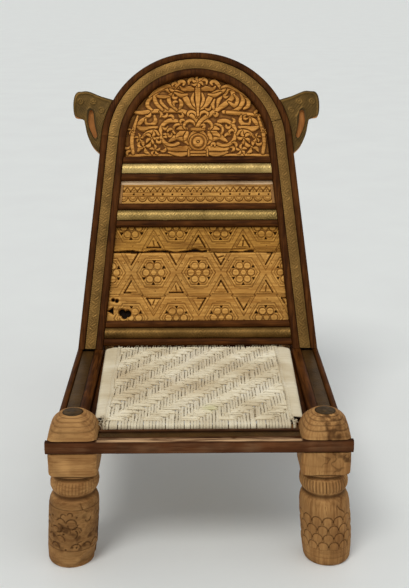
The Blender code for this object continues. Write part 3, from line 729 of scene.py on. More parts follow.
def carve_arch(relief):
    """Branches, curls and flowers that grow from a round vessel at the bottom of the arch."""

    def branch(points, side=1, rise=1.0, valley=0.0, lobes=0):
        relief.stroke(arch_points(points, side), ARCH_RISE * rise, valley * ARCH_RISE, lobes)

    def flower(x, h, radius, petals, side, rise, turn):
        for k in range(petals):
            petal = []
            for reach, bend, half in ((0.2, 0.0, 1.2), (0.65, 0.35, 0.23 * radius), (1.1, 0.0, 1.0)):
                spot = turned((x, h), reach * radius, math.degrees(turn + math.tau * k / petals + bend))
                petal.append((*spot, half))
            branch(petal, side, rise, 0.18)
        relief.disc(arch_points([(x, h)], side)[0], 0.16 * radius * MM, ARCH_RISE * (rise + 0.1))

    def spiral(centre, start, turn, sizes, side, rise, valley=0.0):
        """A curl of nine points, turn degrees apart, each with its reach across, reach up and half width."""
        curl = []
        for k in range(9):
            angle = math.radians(start - turn * k)
            wide, tall, half = sizes(k)
            curl.append((centre[0] + wide * math.cos(angle), centre[1] + tall * math.sin(angle), half))
        branch(curl, side, rise, valley)

    # Ground line and the leaves on both sides of the vessel.
    for side in (-1, 1):
        branch(((30, 6, 3.0), (60, 5, 2.4), (100, 6, 3.0), (135, 5, 3.0), (160, 4, 3.0)), side, 0.55)
        branch(((18, 22, 5), (34, 16, 9.5), (52, 17, 9), (66, 23, 5), (77, 31, 2)), side, 0.85, 0.2, 4)
        branch(((20, 10, 3), (36, 7, 5), (52, 8, 4), (66, 12, 2)), side, 0.7, 0.1)
        branch(((22, 32, 3), (36, 44, 5), (48, 48, 6), (58, 42, 4), (66, 36, 2)), side, 0.9, 0.15, 2)
    # The two great curls, each with a smaller one and leaves inside.
    for side, lift in ((-1, 1), (1, 0)):
        spiral((58, 56 + lift), 112, 29, lambda k: (27, 29, 4.4 - 0.1 * k), side, 0.95, 0.12)
        spiral((44, 62 + lift), 150, 40, lambda k: (15.5 - 0.9 * k, 15.5 - 0.9 * k, 3.0 - 0.12 * k),
               side, 0.85)
        branch(((27, 60, 3.5), (36, 57, 6.5), (45, 52, 4), (50, 47, 1.5)), side, 0.9, 0.2, 2)
        branch(((26, 66, 3), (37, 68, 5.0), (47, 65, 2)), side, 0.85, 0.15)
        branch(((24, 58, 3), (27, 48, 5.0), (31, 40, 2)), side, 0.9, 0.2)
        branch(((4, 72, 3), (9, 81, 3.3), (19, 85, 3.6), (28, 80, 3.4), (32, 71, 2.6), (28, 65, 2)), side)
    # The branches over the curls, which differ from side to side.
    branch(((2, 70, 4), (-3, 86, 4.2), (-18, 99, 4.4), (-38, 108, 4.6), (-70, 109, 4.6), (-104, 107, 4.4),
            (-126, 104, 4.2), (-143, 105, 3.0)))
    branch(((-2, 70, 4), (6, 84, 4.2), (26, 99, 4.6), (48, 114, 5.0), (66, 127, 5.2), (80, 142, 4.8),
            (76, 155, 4.4), (62, 160, 3.6)))
    branch(((58, 105, 3.8), (80, 106, 4.4), (96, 118, 4.8), (103, 134, 4.8), (98, 151, 4.6), (84, 161, 4.4),
            (70, 158, 3.6), (64, 148, 3.0)))
    branch(((70, 128, 2.5), (84, 120, 4.2), (90, 134, 3.6), (82, 145, 2.2)), 1, 0.9, 0.2)
    branch(((66, 104, 3.6), (92, 102, 3.9), (120, 99, 3.8), (140, 97, 2.6)))
    branch(((-48, 110, 3), (-60, 122, 3.8), (-66, 136, 4.2), (-58, 150, 4.0), (-44, 160, 3.4)), 1, 0.95)
    branch(((-80, 110, 3), (-94, 126, 4.2), (-98, 142, 4.4), (-88, 156, 4.0), (-74, 160, 3.6),
            (-64, 152, 3.0)))
    branch(((-92, 142, 2.4), (-80, 141, 3.6), (-64, 141, 2.0)), 1, 0.95)
    branch(((-104, 110, 2.6), (-114, 120, 4.2), (-112, 132, 4.0), (-104, 138, 2.0)), 1, 0.9, 0.2)
    branch(((-68, 112, 2.6), (-82, 126, 3.4), (-84, 134, 2.0)), 1, 0.85, 0.1)
    branch(((104, 112, 2.4), (114, 120, 4.4), (114, 132, 4.2), (106, 140, 2.0)), 1, 0.9, 0.2)
    branch(((36, 112, 2.4), (33, 124, 4.6), (38, 134, 2.0)), 1, 0.85, 0.25)
    branch(((44, 118, 2.0), (47, 132, 4.2), (54, 140, 1.8)), 1, 0.85, 0.25)
    branch(((-42, 112, 2.4), (-37, 124, 4.2), (-41, 134, 2.0)), 1, 0.85, 0.25)
    # Matching leaves up the middle and along the rim, and flowers in the corners.
    for side in (-1, 1):
        branch(((2, 92, 2.4), (6, 102, 3.0), (15, 106, 3.4), (22, 102, 3.0), (22, 97, 2.0)), side)
        branch(((1, 110, 3.4), (14, 119, 5.2), (24, 131, 6.0), (31, 143, 5.4), (44, 151, 5.0),
                (58, 155, 4.0), (64, 163, 2.4)), side, 1.05, 0.2)
        branch(((3, 114, 2.4), (10, 124, 3.4), (13, 136, 3.4), (9, 148, 2.4)), side, 0.95)
        branch(((24, 146, 2.4), (38, 144, 4.0), (52, 150, 2.4)), side, 0.9, 0.15)
        branch(((7, 158, 3.0), (20, 160, 5.0), (33, 158, 3.6), (40, 164, 2.0)), side, 1.0, 0.2, 2)
        branch(((52, 160, 3.0), (46, 170, 4.0), (38, 177, 4.0), (30, 174, 3.0), (33, 168, 2.0)), side)
        branch(((54, 162, 2.4), (68, 166, 4.0), (84, 160, 4.2), (100, 150, 3.4), (110, 140, 2.0)),
               side, 0.85, 0.1)
        branch(((4, 176, 3), (12, 182, 4.2), (20, 178, 3), (20, 171, 2)), side, 1.0, 0.1)
        branch(((117, 92, 3), (128, 84, 4.5), (134, 74, 3.2), (130, 66, 2.0)), side, 0.85, 0.15)
        branch(((98, 96, 2.4), (96, 84, 4.2), (104, 76, 4.2), (116, 78, 3.0), (118, 88, 2.2)), side, 0.9)
        branch(((92, 70, 2.4), (106, 67, 5.4), (124, 66, 5.4), (140, 72, 2.0)), side, 0.9, 0.2)
        branch(((88, 52, 2.4), (96, 60, 4.2), (112, 57, 5.0), (124, 50, 2.4)), side, 0.85, 0.2)
        branch(((146, 10, 3.6), (149, 34, 4.0), (147, 56, 3.8), (140, 82, 3.0), (136, 96, 2.0)),
               side, 0.6, 0.15)
        for x, h, radius, petals, rise, turn in (
            (104, 45, 15, 5, 0.85, 0.5),
            (121, 24, 17, 4, 0.85, 0.9),
            (97, 17, 12, 5, 0.8, 0.2),
            (132, 45, 10, 5, 0.75, 0.1),
            (150, 62, 8, 4, 0.6, 0.4),
        ):
            flower(x, h, radius, petals, side, rise, turn)
    # The middle stem with its top flower, and the vessel on its foot.
    branch(((0, 96, 2.6), (0, 112, 3.2), (0, 135, 5.2), (0, 158, 5.6), (0, 166, 2.6)), 1, 1.1, 0.1)
    flower(0, 175, 13, 6, 1, 1.0, 0.5)
    for side in (-1, 1):
        branch(((15, 31, 3.0), (20, 42, 3.2), (12, 56, 3.2), (2, 64, 3.2)), side)
    vessel = arch_points([(0, 36)])[0]
    relief.disc(vessel, 21.5 * MM, ARCH_RISE * 0.85)
    relief.ring_groove(vessel, 15.5 * MM, 2.4 * MM, 2.2 * MM)
    relief.disc(vessel, 13.5 * MM, ARCH_RISE * 1.08, 0.0005)
    relief.disc(vessel, 3.0 * MM, ARCH_RISE * 1.3)
    branch(((-14, 65, 2.8), (0, 65, 3.4), (14, 65, 2.8)), 1, 1.15)
    branch(((-17, 6, 3.0), (17, 6, 3.0)), 1, 0.9)
    branch(((-16, 12, 3.2), (16, 12, 3.2)), 1, 1.1)
    for side in (-1, 1):
        branch(((21, 3, 2.2), (21, 17, 2.2)), side, 0.8)


def fill_arch(relief, seed):
    """Small curled leaves wherever the branches leave bare ground."""
    rng = np.random.default_rng(seed)
    base = BACK_RAILS["upper"][1]
    radius = HOOP_RADIUS - PANEL_INSET
    for k in range(900):
        x = rng.uniform(-radius, radius)
        s = rng.uniform(base + 0.003, ARCH_CENTRE + radius)
        if s > ARCH_CENTRE and math.hypot(x, s - ARCH_CENTRE) > radius - 0.004:
            continue
        rows = relief.rows_near(s - 0.0045, s + 0.0045)
        near = np.hypot(relief.x[rows] - x, relief.s[rows] - s) < 0.0042
        if not near.any() or relief.height[rows][near].max() > 0.25 * ARCH_RISE:
            continue
        angle = rng.uniform(0.0, math.tau)
        bend = rng.choice((-1.0, 1.0)) * rng.uniform(0.5, 1.2)
        leaf = []
        for share, half in ((-1.0, 0.0016), (-0.4, 0.0036), (0.3, 0.0038), (1.0, 0.0014)):
            turn = angle + bend * share
            leaf.append((x + 0.0085 * share * math.cos(turn), s + 0.0085 * share * math.sin(turn), half))
        relief.stroke(leaf, ARCH_RISE * rng.uniform(0.6, 0.85), 0.15 * ARCH_RISE, steps=4)


def add_arch_panel():
    relief = arch_relief(BACK_RAILS["upper"][1] + GAP)
    carve_arch(relief)
    fill_arch(relief, 71)
    relief.height -= 0.25 * ARCH_RISE * smooth_step(0.001 - relief.height, 0.0, 0.001)
    carve_piece("arch_panel_carving", "arch_panel", relief, "arch", PANEL_FRONT + ARCH_RISE * 1.1, 3,
                floor_shade=0.45)


ROSETTE_X = 0.0025
ROSETTE_S = 0.170
ROSETTE_COLUMN = 0.0992
ROSETTE_ROW = 0.101
PETAL_REACH = 0.0168
PETAL_RADIUS = 0.0083
POINT_REACH = 0.0250


def rosette_places(low, high):
    """Centres of the rosettes whose fields reach between two slope heights."""
    places = []
    for row in (-1, 0, 1):
        for column in range(-2, 3):
            x = ROSETTE_X + (column + (0.5 if row else 0.0)) * ROSETTE_COLUMN
            s = ROSETTE_S + row * ROSETTE_ROW
            if low - 0.06 < s < high + 0.06 and abs(x) < 0.21:
                places.append((x, s))
    return places


def carve_rosette(relief, centre, seed):
    """A six-petalled flower in a hexagon of double lines, with chip-carved points between petals."""
    rng = np.random.default_rng(seed)
    for inner in (0.0268, 0.0325):
        corners = [turned(centre, inner / math.cos(math.pi / 6), 60 * k) for k in range(7)]
        relief.groove(corners, 2.6 * MM, 1.7 * MM)
    for k in range(6):
        petal = turned(centre, PETAL_REACH, 60 * k)
        relief.disc(petal, PETAL_RADIUS * rng.uniform(0.93, 1.03), 0.9 * MM)
        relief.ring_groove(petal, PETAL_RADIUS, 2.6 * MM, 2.1 * MM)
    relief.disc(centre, 0.0066, 0.9 * MM)
    relief.ring_groove(centre, 0.0068, 2.2 * MM, 1.8 * MM)
    for k in range(6):
        spot = turned(centre, POINT_REACH * rng.uniform(0.97, 1.03), 30 + 60 * k + rng.uniform(-3, 3))
        relief.drill(spot, rng.uniform(3.7, 5.2) * MM, 8.5 * MM, 3, math.radians(30 + 60 * k))
    for k in range(6):
        start = turned(centre, 0.0375, 60 * k + 30 - 16)
        end = turned(centre, 0.0375, 60 * k + 30 + 16)
        relief.groove((start, end), 2.6 * MM, 1.2 * MM)
        if rng.random() < 0.7:
            leaf = turned(centre, 0.0415, 60 * k + 30 + rng.uniform(-9, 9))
            relief.drill(leaf, rng.uniform(1.6, 2.3) * MM, 1.8 * MM, 3, math.radians(90))


def carve_triangle(relief, centre, upward, seed):
    """A raised three-sided plate in a frame of straps, with a short slot cut beside it."""
    rng = np.random.default_rng(seed)
    turn = 90 if upward else -90
    for reach, width, depth in ((0.0305, 2.8, 1.9), (0.0240, 2.4, 1.5)):
        corners = [turned(centre, reach, turn + 120 * k) for k in range(4)]
        relief.groove(corners, width * MM, depth * MM)
    plate = [turned(centre, 0.0175, turn + 120 * k) for k in range(3)]
    relief.groove(plate + plate[:1], 3.2 * MM, 2.2 * MM)
    dark_side = int(rng.integers(0, 3))
    first = plate[dark_side]
    second = plate[(dark_side + 1) % 3]
    relief.groove((first, second), 3.4 * MM, 5.0 * MM)
    if rng.random() < 0.75:
        third = plate[(dark_side + 2) % 3]
        part = rng.uniform(0.35, 0.6)
        elbow = (second[0] + part * (third[0] - second[0]), second[1] + part * (third[1] - second[1]))
        relief.groove((second, elbow), 3.2 * MM, 4.6 * MM)
    if rng.random() < 0.5:
        start = turned(centre, 0.006, rng.uniform(0, 360))
        relief.groove((start, (2 * centre[0] - start[0], 2 * centre[1] - start[1])), 2.8 * MM, 3.4 * MM)


def carve_lattice(relief, low, high):
    """Rosettes, a pair of triangles beside each, and straps between their rows."""
    places = rosette_places(low, high)
    for index, (x, s) in enumerate(places):
        for side in (1, -1):
            centre = (x + ROSETTE_COLUMN / 2, s - side * 0.35 * ROSETTE_ROW)
            carve_triangle(relief, centre, side > 0, 40 + 2 * index + (side > 0))
    for index, centre in enumerate(places):
        carve_rosette(relief, centre, 7 + index)
    for row in (-1.5, -0.5, 0.5):
        for offset in (-0.0027, 0.0027):
            line = ROSETTE_S + row * ROSETTE_ROW + offset
            relief.groove(((-0.2, line), (0.2, line)), 2.2 * MM, 1.4 * MM)


def add_lattice_panels():
    """Two boards of one strapwork pattern, parted by a ragged crack; the lower one has lost a corner knot."""
    low = BOARD_JOINT + GAP
    high = BACK_RAILS["middle"][0] - GAP
    upper = panel_relief(low, high)
    carve_lattice(upper, low, high)
    across = grid_of(upper.x, 0.0, 0.0 * upper.s)
    ragged = 0.0028 + 0.0042 * rough(across + (0, 0, 0.5), 0.024, 21, 5)
    ragged = ragged + 0.005 * np.exp(-(((upper.x + 0.006) / 0.012) ** 2))
    broken = smooth_step(upper.s - low, ragged + 0.0012, ragged - 0.0006)
    upper.height -= 0.0075 * broken * (0.55 + 0.45 * np.sign(lumps(across, 0.05, 8) + 0.2))
    carve_piece("lattice_board_upper", "lattice_panel_upper", upper, "upper_board", seed=11, grime_and_shade=0.75)
    low = BACK_RAILS["lower"][1] + GAP
    lower = panel_relief(low, BOARD_JOINT)
    carve_lattice(lower, low, BOARD_JOINT)
    edge = 0.0008 + 0.0008 * rough(grid_of(lower.x, 0.0, 0.0 * lower.s), 0.02, 5)
    lower.height -= 0.004 * smooth_step(BOARD_JOINT - lower.s, edge + 0.001, edge - 0.0005)
    for x, s, radius, depth in (
        (-0.166, 0.0820, 10.5, 15),
        (-0.154, 0.0800, 10.5, 15),
        (-0.161, 0.0745, 8.5, 15),
        (-0.178, 0.108, 5.5, 12),
        (-0.186, 0.110, 5.0, 12),
    ):
        lower.drill((x, s), radius * MM, depth * MM)
    lower.drill((-0.190, 0.086), 9.5 * MM, 13 * MM, 3, 0.0)
    carve_piece("lattice_board_lower", "lattice_panel_lower", lower, "carved", seed=12, grime_and_shade=0.75)


def add_narrow_panel():
    """A border board: scallops below, a line of drilled dots, and a zigzag above."""
    low = BACK_RAILS["middle"][1] + GAP
    high = BACK_RAILS["upper"][0] - LATH_STRIP_HEIGHT - GAP
    relief = panel_relief(low, high, PANEL_END_WIDTH + GAP)
    rng = np.random.default_rng(31)
    step = 0.0215
    for line in (0.0165, 0.0265, 0.0395):
        relief.groove(((-0.18, low + line), (0.18, low + line)), 2.2 * MM, 1.5 * MM)
    for k in range(-8, 9):
        x = (k + 0.35) * step
        for radius, depth in ((0.0095, 2.0), (0.0055, 1.2)):
            relief.ring_groove((x, low + 0.0145), radius, 2.4 * MM, 1.3 * depth * MM, 180, 360)
        if rng.random() < 0.85:
            size = rng.uniform(2.1, 2.9) * MM
            relief.drill((x + 0.002, low + 0.0215 + rng.uniform(-1, 1) * 0.0006), size, 4.5 * MM)
    tooth = 0.0148
    for k in range(-12, 13):
        foot = k * tooth
        zigzag = ((foot, low + 0.028), (foot + tooth / 2, low + 0.0375), (foot + tooth, low + 0.028))
        relief.groove(zigzag, 3.0 * MM, 2.4 * MM)
        relief.drill((foot + tooth / 2, low + 0.0300), 2.0 * MM, 1.8 * MM, 3, math.radians(90))
    carve_piece("narrow_board", "narrow_panel", relief, "carved", seed=14)


# ---------------------------------------------------------------- moulded bars and their brass


BRASS_PITCH = 0.0010
BRASS_COLUMNS = 27
SEAT_BRASS_PITCH = 0.0014
SEAT_BRASS_COLUMNS = 19


def moulding(width, bead_near, strip, depth, pitch=0.0016):
    """A bar's section, a rounded bead on each side of a shallow channel, with its worn crests, partly painted
    highlight, and its painted shade.

    The section is fine (across, depth) points. Wear, partly a painted highlight, is on the crests of the
    beads, and painted shade where they meet the channel.
    """
    rise = np.arange(depth, CHANNEL_DEPTH, -2.5 * pitch)
    points = [(0.0, value) for value in rise]
    for start, span in ((0.0, bead_near), (bead_near + strip, width - bead_near - strip)):
        steps = max(8, int(1.5 * span / pitch))
        for angle in np.linspace(0.0, math.pi, steps + 1):
            across = start + span * (0.5 - 0.5 * math.cos(angle))
            points.append((across, CHANNEL_DEPTH * (1.0 - math.sin(angle) ** 0.75)))
    points += [(width, value) for value in rise[::-1]]
    section = np.asarray(points)
    across, deep = section.T
    wear_and_highlight = 0.75 * np.clip(1.0 - deep / (0.5 * CHANNEL_DEPTH), 0.0, 1.0)
    # Painted shade along the seams where the beads meet the channel.
    seam = np.minimum(abs(across - bead_near), abs(across - bead_near - strip))
    dirt_and_shade = np.clip(1.0 - seam / 0.0022, 0.0, 1.0) * (deep < CHANNEL_DEPTH + 0.0005)
    return section, wear_and_highlight, dirt_and_shade


def brass_section(start, width, columns=SEAT_BRASS_COLUMNS):
    """Crowned (across, depth) points over a channel's metal strip, without its underside."""
    across = np.linspace(start + GAP, start + width - GAP, columns)
    crown = 0.0008 * (1.0 - (2.0 * (across - start) / width - 1.0) ** 2)
    return np.stack([across, CHANNEL_DEPTH - GAP - STRIP_THICKNESS + 0.0008 - crown], axis=1)


def bar_piece(name, node, rings, wear_and_highlight, dirt_and_shade, lying, look, seed):
    """A closed bar through the given rings, slightly uneven, with nicks along its worn edges."""
    place, axis, inward = lying
    points = rings.copy()
    waver = 0.0005 * rough(points, 0.045, seed) + 0.000175 * rough(points, 0.009, seed + 3)
    points[1:-1, :, axis] += inward * np.abs(waver[1:-1])
    marks = {
        "wear_and_highlight": np.clip(wear_and_highlight * (0.6 + 0.9 * rough(rings, 0.02, seed + 9)), 0.0, 1.0),
        "dirt_and_shade": np.clip(dirt_and_shade * (0.9 + 0.4 * lumps(rings, 0.01, seed + 4)), 0.0, 1.0),
    }
    add_piece(name, node, points, place, look, marks)


def hoop_ring(section, angle):
    """The section carried to one angle round the arch."""
    radius = HOOP_RADIUS - section[:, 0]
    return grid_of(radius * math.cos(angle), section[:, 1], ARCH_CENTRE + radius * math.sin(angle))


def arch_rings(section, start, end, pitch, side=1):
    """Rings round the arch between two angles from the spring, counted from that side."""
    steps = max(2, int((end - start) * HOOP_RADIUS / pitch))
    angles = start + (end - start) * np.arange(steps + 1) / steps
    return [hoop_ring(section, angle if side > 0 else math.pi - angle) for angle in angles]


def hoop_rings(section, side, top_angle, pitch):
    """Rings up one stile from its foot, and on round the arch to an angle past the spring."""
    s = section[:, 1] * math.tan(RAKE) + GAP / math.cos(RAKE)
    x = [side * float(half_width(value, inset)) for value, inset in zip(s, section[:, 0])]
    foot = grid_of(np.array(x), section[:, 1], s)
    top = hoop_ring(section, STILE_LEAN if side > 0 else math.pi - STILE_LEAN)
    steps = int(ARCH_CENTRE / pitch)
    rings = [foot + (top - foot) * k / steps for k in range(steps + 1)]
    if top_angle > STILE_LEAN:
        rings += arch_rings(section, STILE_LEAN, top_angle, pitch, side)[1:]
    return np.asarray(rings)


def emboss_vine(length, columns, pitch, width, seed):
    """A relief (across, along) of a waving stem with paired leaves and berries, between beaded edges."""
    along = np.linspace(0.0, length, int(length / pitch) + 1)
    across = np.linspace(-width / 2, width / 2, columns)
    relief = Relief(*np.meshgrid(across, along))
    rng = np.random.default_rng(seed)
    wave = 0.0185
    for base in np.arange(int(length / wave) + 1) * wave:
        bend = 0.20 * width * rng.uniform(0.6, 1.15)
        shares = (0.0, 0.25, 0.5, 0.75, 1.0)
        stem = [(bend * math.sin(math.tau * share), base + wave * share, 0.0008) for share in shares]
        relief.stroke(stem, 0.0007, steps=3)
        for share, side in ((0.25, -1), (0.75, 1)):
            tip = base + wave * share
            reach = side * 0.30 * width
            leaf = (
                (-side * 0.10 * width, tip - 0.003, 0.0006),
                (0.5 * reach, tip, 0.0017 * rng.uniform(0.8, 1.2)),
                (reach, tip + 0.004 * rng.uniform(0.4, 1.3), 0.0006),
            )
            relief.stroke(leaf, 0.0009 * rng.uniform(0.5, 1.0), 0.0003, steps=3)
            relief.disc((reach * rng.uniform(0.8, 1.1), tip - 0.0045), 0.0013, 0.0008)
            relief.disc((0.75 * reach, tip + 0.007 * rng.uniform(0.8, 1.1)), 0.0011, 0.0007)
    bead = 0.0042
    for side in (-1, 1):
        for k in range(int(length / bead)):
            relief.disc((side * 0.44 * width, (k + 0.5) * bead), 0.0012, 0.0006)
    return relief


def strip_piece(name, node, rings, lying, look, width, pitch, seed, strength):
    """A metal strip: an embossed, dented front and a plain back a little below it."""
    place, axis, inward = lying
    rows, columns = rings.shape[:2]
    relief = emboss_vine(pitch * (rows + 4), columns, pitch, width, seed)
    height = relief.height[:rows]
    waver = 0.00035 * rough(rings, 0.035, seed) + 0.0002 * lumps(rings, 0.008, seed + 2)
    points = rings.copy()
    points[1:-1, 1:-1, axis] -= inward * (strength * 0.75 * height + waver)[1:-1, 1:-1]
    below = rings[:, ::-1].copy()
    below[:, :, axis] += inward * (STRIP_THICKNESS - 0.0004)
    patchy = np.clip(0.6 + 0.6 * rough(rings, 0.05, seed + 7), 0.1, 1.0)
    dirt_and_shade = np.clip(relief.hollows(2, 0.0006)[:rows] * patchy * strength, 0, 1)
    wear_and_highlight = np.clip(height / 0.0009, 0, 1) * patchy
    plain = np.zeros((rows, columns))
    marks = {"dirt_and_shade": np.concatenate([dirt_and_shade, plain], axis=1), "wear_and_highlight": np.concatenate([wear_and_highlight, plain], axis=1)}
    add_piece(name, node, np.concatenate([points, below], axis=1), place, look, marks)


def add_hoop():
    """The stiles and arch, and the three metal strips in their channel."""
    section, wear_and_highlight, dirt_and_shade = moulding(HOOP_BAND, BEAD_OUTER, STRIP_WIDTH, HOOP_THICKNESS)
    for side, label in SIDES:
        rings = hoop_rings(section, side, 0.0, 0.004)
        bar_piece("stile_" + label, "back_stile_" + label, rings, wear_and_highlight, dirt_and_shade, IN_BACK, "dark_upright",
                  50 + side)
    start = STILE_LEAN + 0.002
    rings = np.asarray(arch_rings(section, start, math.pi - start, 0.004))
    bar_piece("arch_bar", "back_arch", rings, wear_and_highlight, dirt_and_shade, IN_BACK, "dark_upright", 54)
    strip = brass_section(BEAD_OUTER, STRIP_WIDTH, BRASS_COLUMNS)
    right_joint = math.radians(17.0)
    left_joint = math.pi - STILE_LEAN
    seam = GAP / HOOP_RADIUS
    runs = (
        ("left", hoop_rings(strip, -1, 0.0, BRASS_PITCH)),
        ("right", hoop_rings(strip, 1, right_joint - 3 * seam, BRASS_PITCH)),
        ("arch", np.asarray(arch_rings(strip, right_joint + 3 * seam, left_joint - 4 * seam, BRASS_PITCH))),
    )
    for seed, (label, rings) in enumerate(runs, 61):
        strip_piece("hoop_strip_" + label, "hoop_brass_" + label, rings, IN_BACK, "dull_brass_painted_shade", STRIP_WIDTH,
                    BRASS_PITCH, seed, 0.65)


def add_back_rails():
    """The back's three rails, the lowest cut to sit on the side rails, and their metal strips."""
    # The upper rail's brass is a brighter copy, partly painted highlight; the lowest rail's a darker copy,
    # partly painted shade.
    finishes = (("lower", "dull_brass_painted_shade", 0.35), ("middle", "brass", 0.8), ("upper", "bright_brass_painted_highlight", 0.8))
    for index, (label, look, strength) in enumerate(finishes):
        low, high = BACK_RAILS[label]
        bead = (high - low - STRIP_WIDTH) / 2
        section, wear_and_highlight, dirt_and_shade = moulding(high - low, bead, STRIP_WIDTH, HOOP_THICKNESS)
        s = low + section[:, 0]
        if label == "lower":
            s = s + np.where(section[:, 0] == 0.0, section[:, 1] * math.tan(RAKE), 0.0)
        reach = half_width(s, HOOP_BAND) - GAP
        rings = grid_of(np.linspace(-1.0, 1.0, 90)[:, None] * reach, section[:, 1], s)
        bar_piece("rail_" + label, "back_rail_" + label, rings, wear_and_highlight, dirt_and_shade, IN_BACK, "dark_across",
                  70 + index)
        strip = brass_section(bead, STRIP_WIDTH, BRASS_COLUMNS)
        crown = 0.0045 * (1.0 - np.linspace(-1.0, 1.0, BRASS_COLUMNS) ** 2)
        s = low + strip[:, 0]
        reach = half_width(s, HOOP_BAND) - GAP
        shares = np.linspace(-1.0, 1.0, int(2 * reach.mean() / BRASS_PITCH))
        rings = grid_of(shares[:, None] * reach, strip[:, 1] - crown, s)
        strip_piece("rail_strip_" + label, "back_rail_brass_" + label, rings, IN_BACK, look, STRIP_WIDTH,
                    BRASS_PITCH, 80 + index, strength)


def rounded_rectangle(half_wide, half_deep, corner=0.002):
    """Points round a rectangle with round corners, and four more along each side."""
    points = []
    for quarter, (sign_x, sign_y) in enumerate(((1, 1), (-1, 1), (-1, -1), (1, -1))):
        centre = (sign_x * (half_wide - corner), sign_y * (half_deep - corner))
        points += [turned(centre, corner, 90.0 * (quarter + k / 4)) for k in range(5)]
        end = points[-1]
        run = 2 * ((half_deep if quarter % 2 else half_wide) - corner)
        points += [turned(end, run * k / 5, 90.0 * (quarter + 2)) for k in (1, 2, 3, 4)]
    return np.asarray(points)


def wobble(rings, amount, seed):
    """The rings moved a little inward, as hand tools leave them."""
    reach = rings - rings.mean(axis=1, keepdims=True)
    return rings - np.abs(amount * rough(rings, 0.03, seed))[..., None] * np.sign(reach)


def bar_marks(rings, seed):
    """Patches of dirt and wear on a plain bar."""
    return {
        "dirt_and_shade": np.clip(0.5 * rough(rings, 0.05, seed) - 0.1, 0.0, 1.0),
        "wear_and_highlight": np.clip(0.5 * rough(rings, 0.02, seed + 1), 0.0, 1.0),
    }


def plain_bar(name, node, axis, stations, middle, outline, scales, place, look, seed, uneven, trued=True):
    """A bar of one section along an axis; scales sizes the section at each station.

    trued puts its rings back at their stations after the wobble.
    """
    others = [k for k in range(3) if k != axis]
    rings = np.zeros((len(stations), len(outline), 3))
    rings[:, :, axis] = stations[:, None]
    rings[:, :, others] = np.asarray(middle) + scales[:, None, None] * outline
    moved = wobble(rings, uneven, seed)
    if trued:
        moved[:, :, axis] = rings[:, :, axis]
    add_piece(name, node, moved, place, look, bar_marks(rings, seed))


def add_small_boards():
    """The pale lath over the narrow board, its two end fillers, and the battens behind the back."""
    lath_low = BACK_RAILS["upper"][0] - LATH_STRIP_HEIGHT
    relief = panel_relief(lath_low, BACK_RAILS["upper"][0] - GAP)
    carve_piece("panel_lath_bar", "panel_lath", relief, "pale_lath", PANEL_FRONT - 0.0005, 90, 0.0006)
    s = np.linspace(BACK_RAILS["middle"][1] + GAP, lath_low - GAP, 44)
    ends = np.linspace(0.0, PANEL_END_WIDTH, 7)
    for side, label in SIDES:
        x = side * (half_width(s, PANEL_INSET)[:, None] - ends)
        filler = Relief(x, np.repeat(s[:, None], 7, axis=1))
        carve_piece("end_filler_" + label, "panel_end_" + label, filler, "filler", PANEL_FRONT - 0.0018,
                    92 + side)
    outline = rounded_rectangle(BATTEN_HALF, BATTEN_THICKNESS / 2)
    scales = np.ones(60)
    scales[[0, -1]] = 0.94
    for side, label in SIDES:
        middle = (side * BATTEN_X, HOOP_THICKNESS + GAP + BATTEN_THICKNESS / 2)
        stations = np.linspace(0.030, ARCH_CENTRE + 0.140, 60)
        plain_bar("batten_" + label, "back_batten_" + label, 2, stations, middle, outline, scales, BACK_PLACE,
                  "tan_upright", 95 + side, 0.0004, trued=False)


# ---------------------------------------------------------------- ears


EAR_FRONT = 0.0080
EAR_THICKNESS = 0.0170
EAR_SHEET = 0.0012
EAR_CLEARANCE = 0.0007
EAR_CROWN = [(0.2590, 0.5835), (0.2480, 0.5845), (0.2370, 0.5815), (0.2160, 0.5725)]
EAR_FACE = [
    (0.2330, 0.4570),
    (0.2450, 0.4820),
    (0.2505, 0.5060),
    (0.2535, 0.5185),
    (0.2575, 0.5235),
    (0.2700, 0.5255),
    (0.2748, 0.5285),
    (0.2770, 0.5400),
    (0.2775, 0.5580),
    (0.2745, 0.5745),
    (0.2680, 0.5825),
    (0.2590, 0.5835),
]
EAR_TIP = 0.5640
EAR_FOOT = 0.4410
EAR_SLOT = [(0.2375, 0.5360, 0.0052), (0.2365, 0.5080, 0.0070), (0.2275, 0.4790, 0.0045)]
EAR_DOTS = [(0.2615, 0.5600), (0.2325, 0.5600), (0.2140, 0.5400)]


def ear_loops(count=80):
    """The ear's outer outline and its slot's outline, matched point to point from the crown round."""
    along = np.linspace(EAR_TIP, EAR_FOOT, 30)
    hoop_side = np.stack([half_width(along, -EAR_CLEARANCE), along], axis=1)
    inner = even_points(np.vstack([curve_through(EAR_CROWN, 6), hoop_side]), count)
    outer = even_points(curve_through([hoop_side[-1], *EAR_FACE], 5), count)
    spine = curve_through(EAR_SLOT, 12)
    top = (spine[0, 0], spine[0, 1] + spine[0, 2])
    bottom = (spine[-1, 0], spine[-1, 1] - spine[-1, 2])
    left = [top, *((x - radius, s) for x, s, radius in spine), bottom]
    right = [bottom, *((x + radius, s) for x, s, radius in spine[::-1]), top]
    slot = np.vstack([even_points(left, count)[:-1], even_points(right, count)[:-1]])
    return np.vstack([inner[:-1], outer[:-1]]), slot


def ear_height(x, s, edge):
    """Embossing on the ear's sheet: a rim, ringed dots and rows of small punched bumps."""
    height = 0.0009 * np.exp(-(((edge - 0.90) / 0.05) ** 2)) + 0.0009 * np.exp(-(((edge - 0.10) / 0.06) ** 2))
    for dot_x, dot_s in EAR_DOTS:
        away = np.hypot(x - dot_x, s - dot_s)
        height += 0.0012 * np.exp(-((away / 0.0022) ** 2))
        height += 0.0010 * np.exp(-(((away - 0.0056) / 0.0012) ** 2))
    ripple = np.sin(x * 1150.0 + 2.2 * np.sin(s * 240.0)) * np.sin(s * 1050.0 + x * 260.0)
    return height + 0.00028 * ripple * (edge > 0.15) * (edge < 0.85)


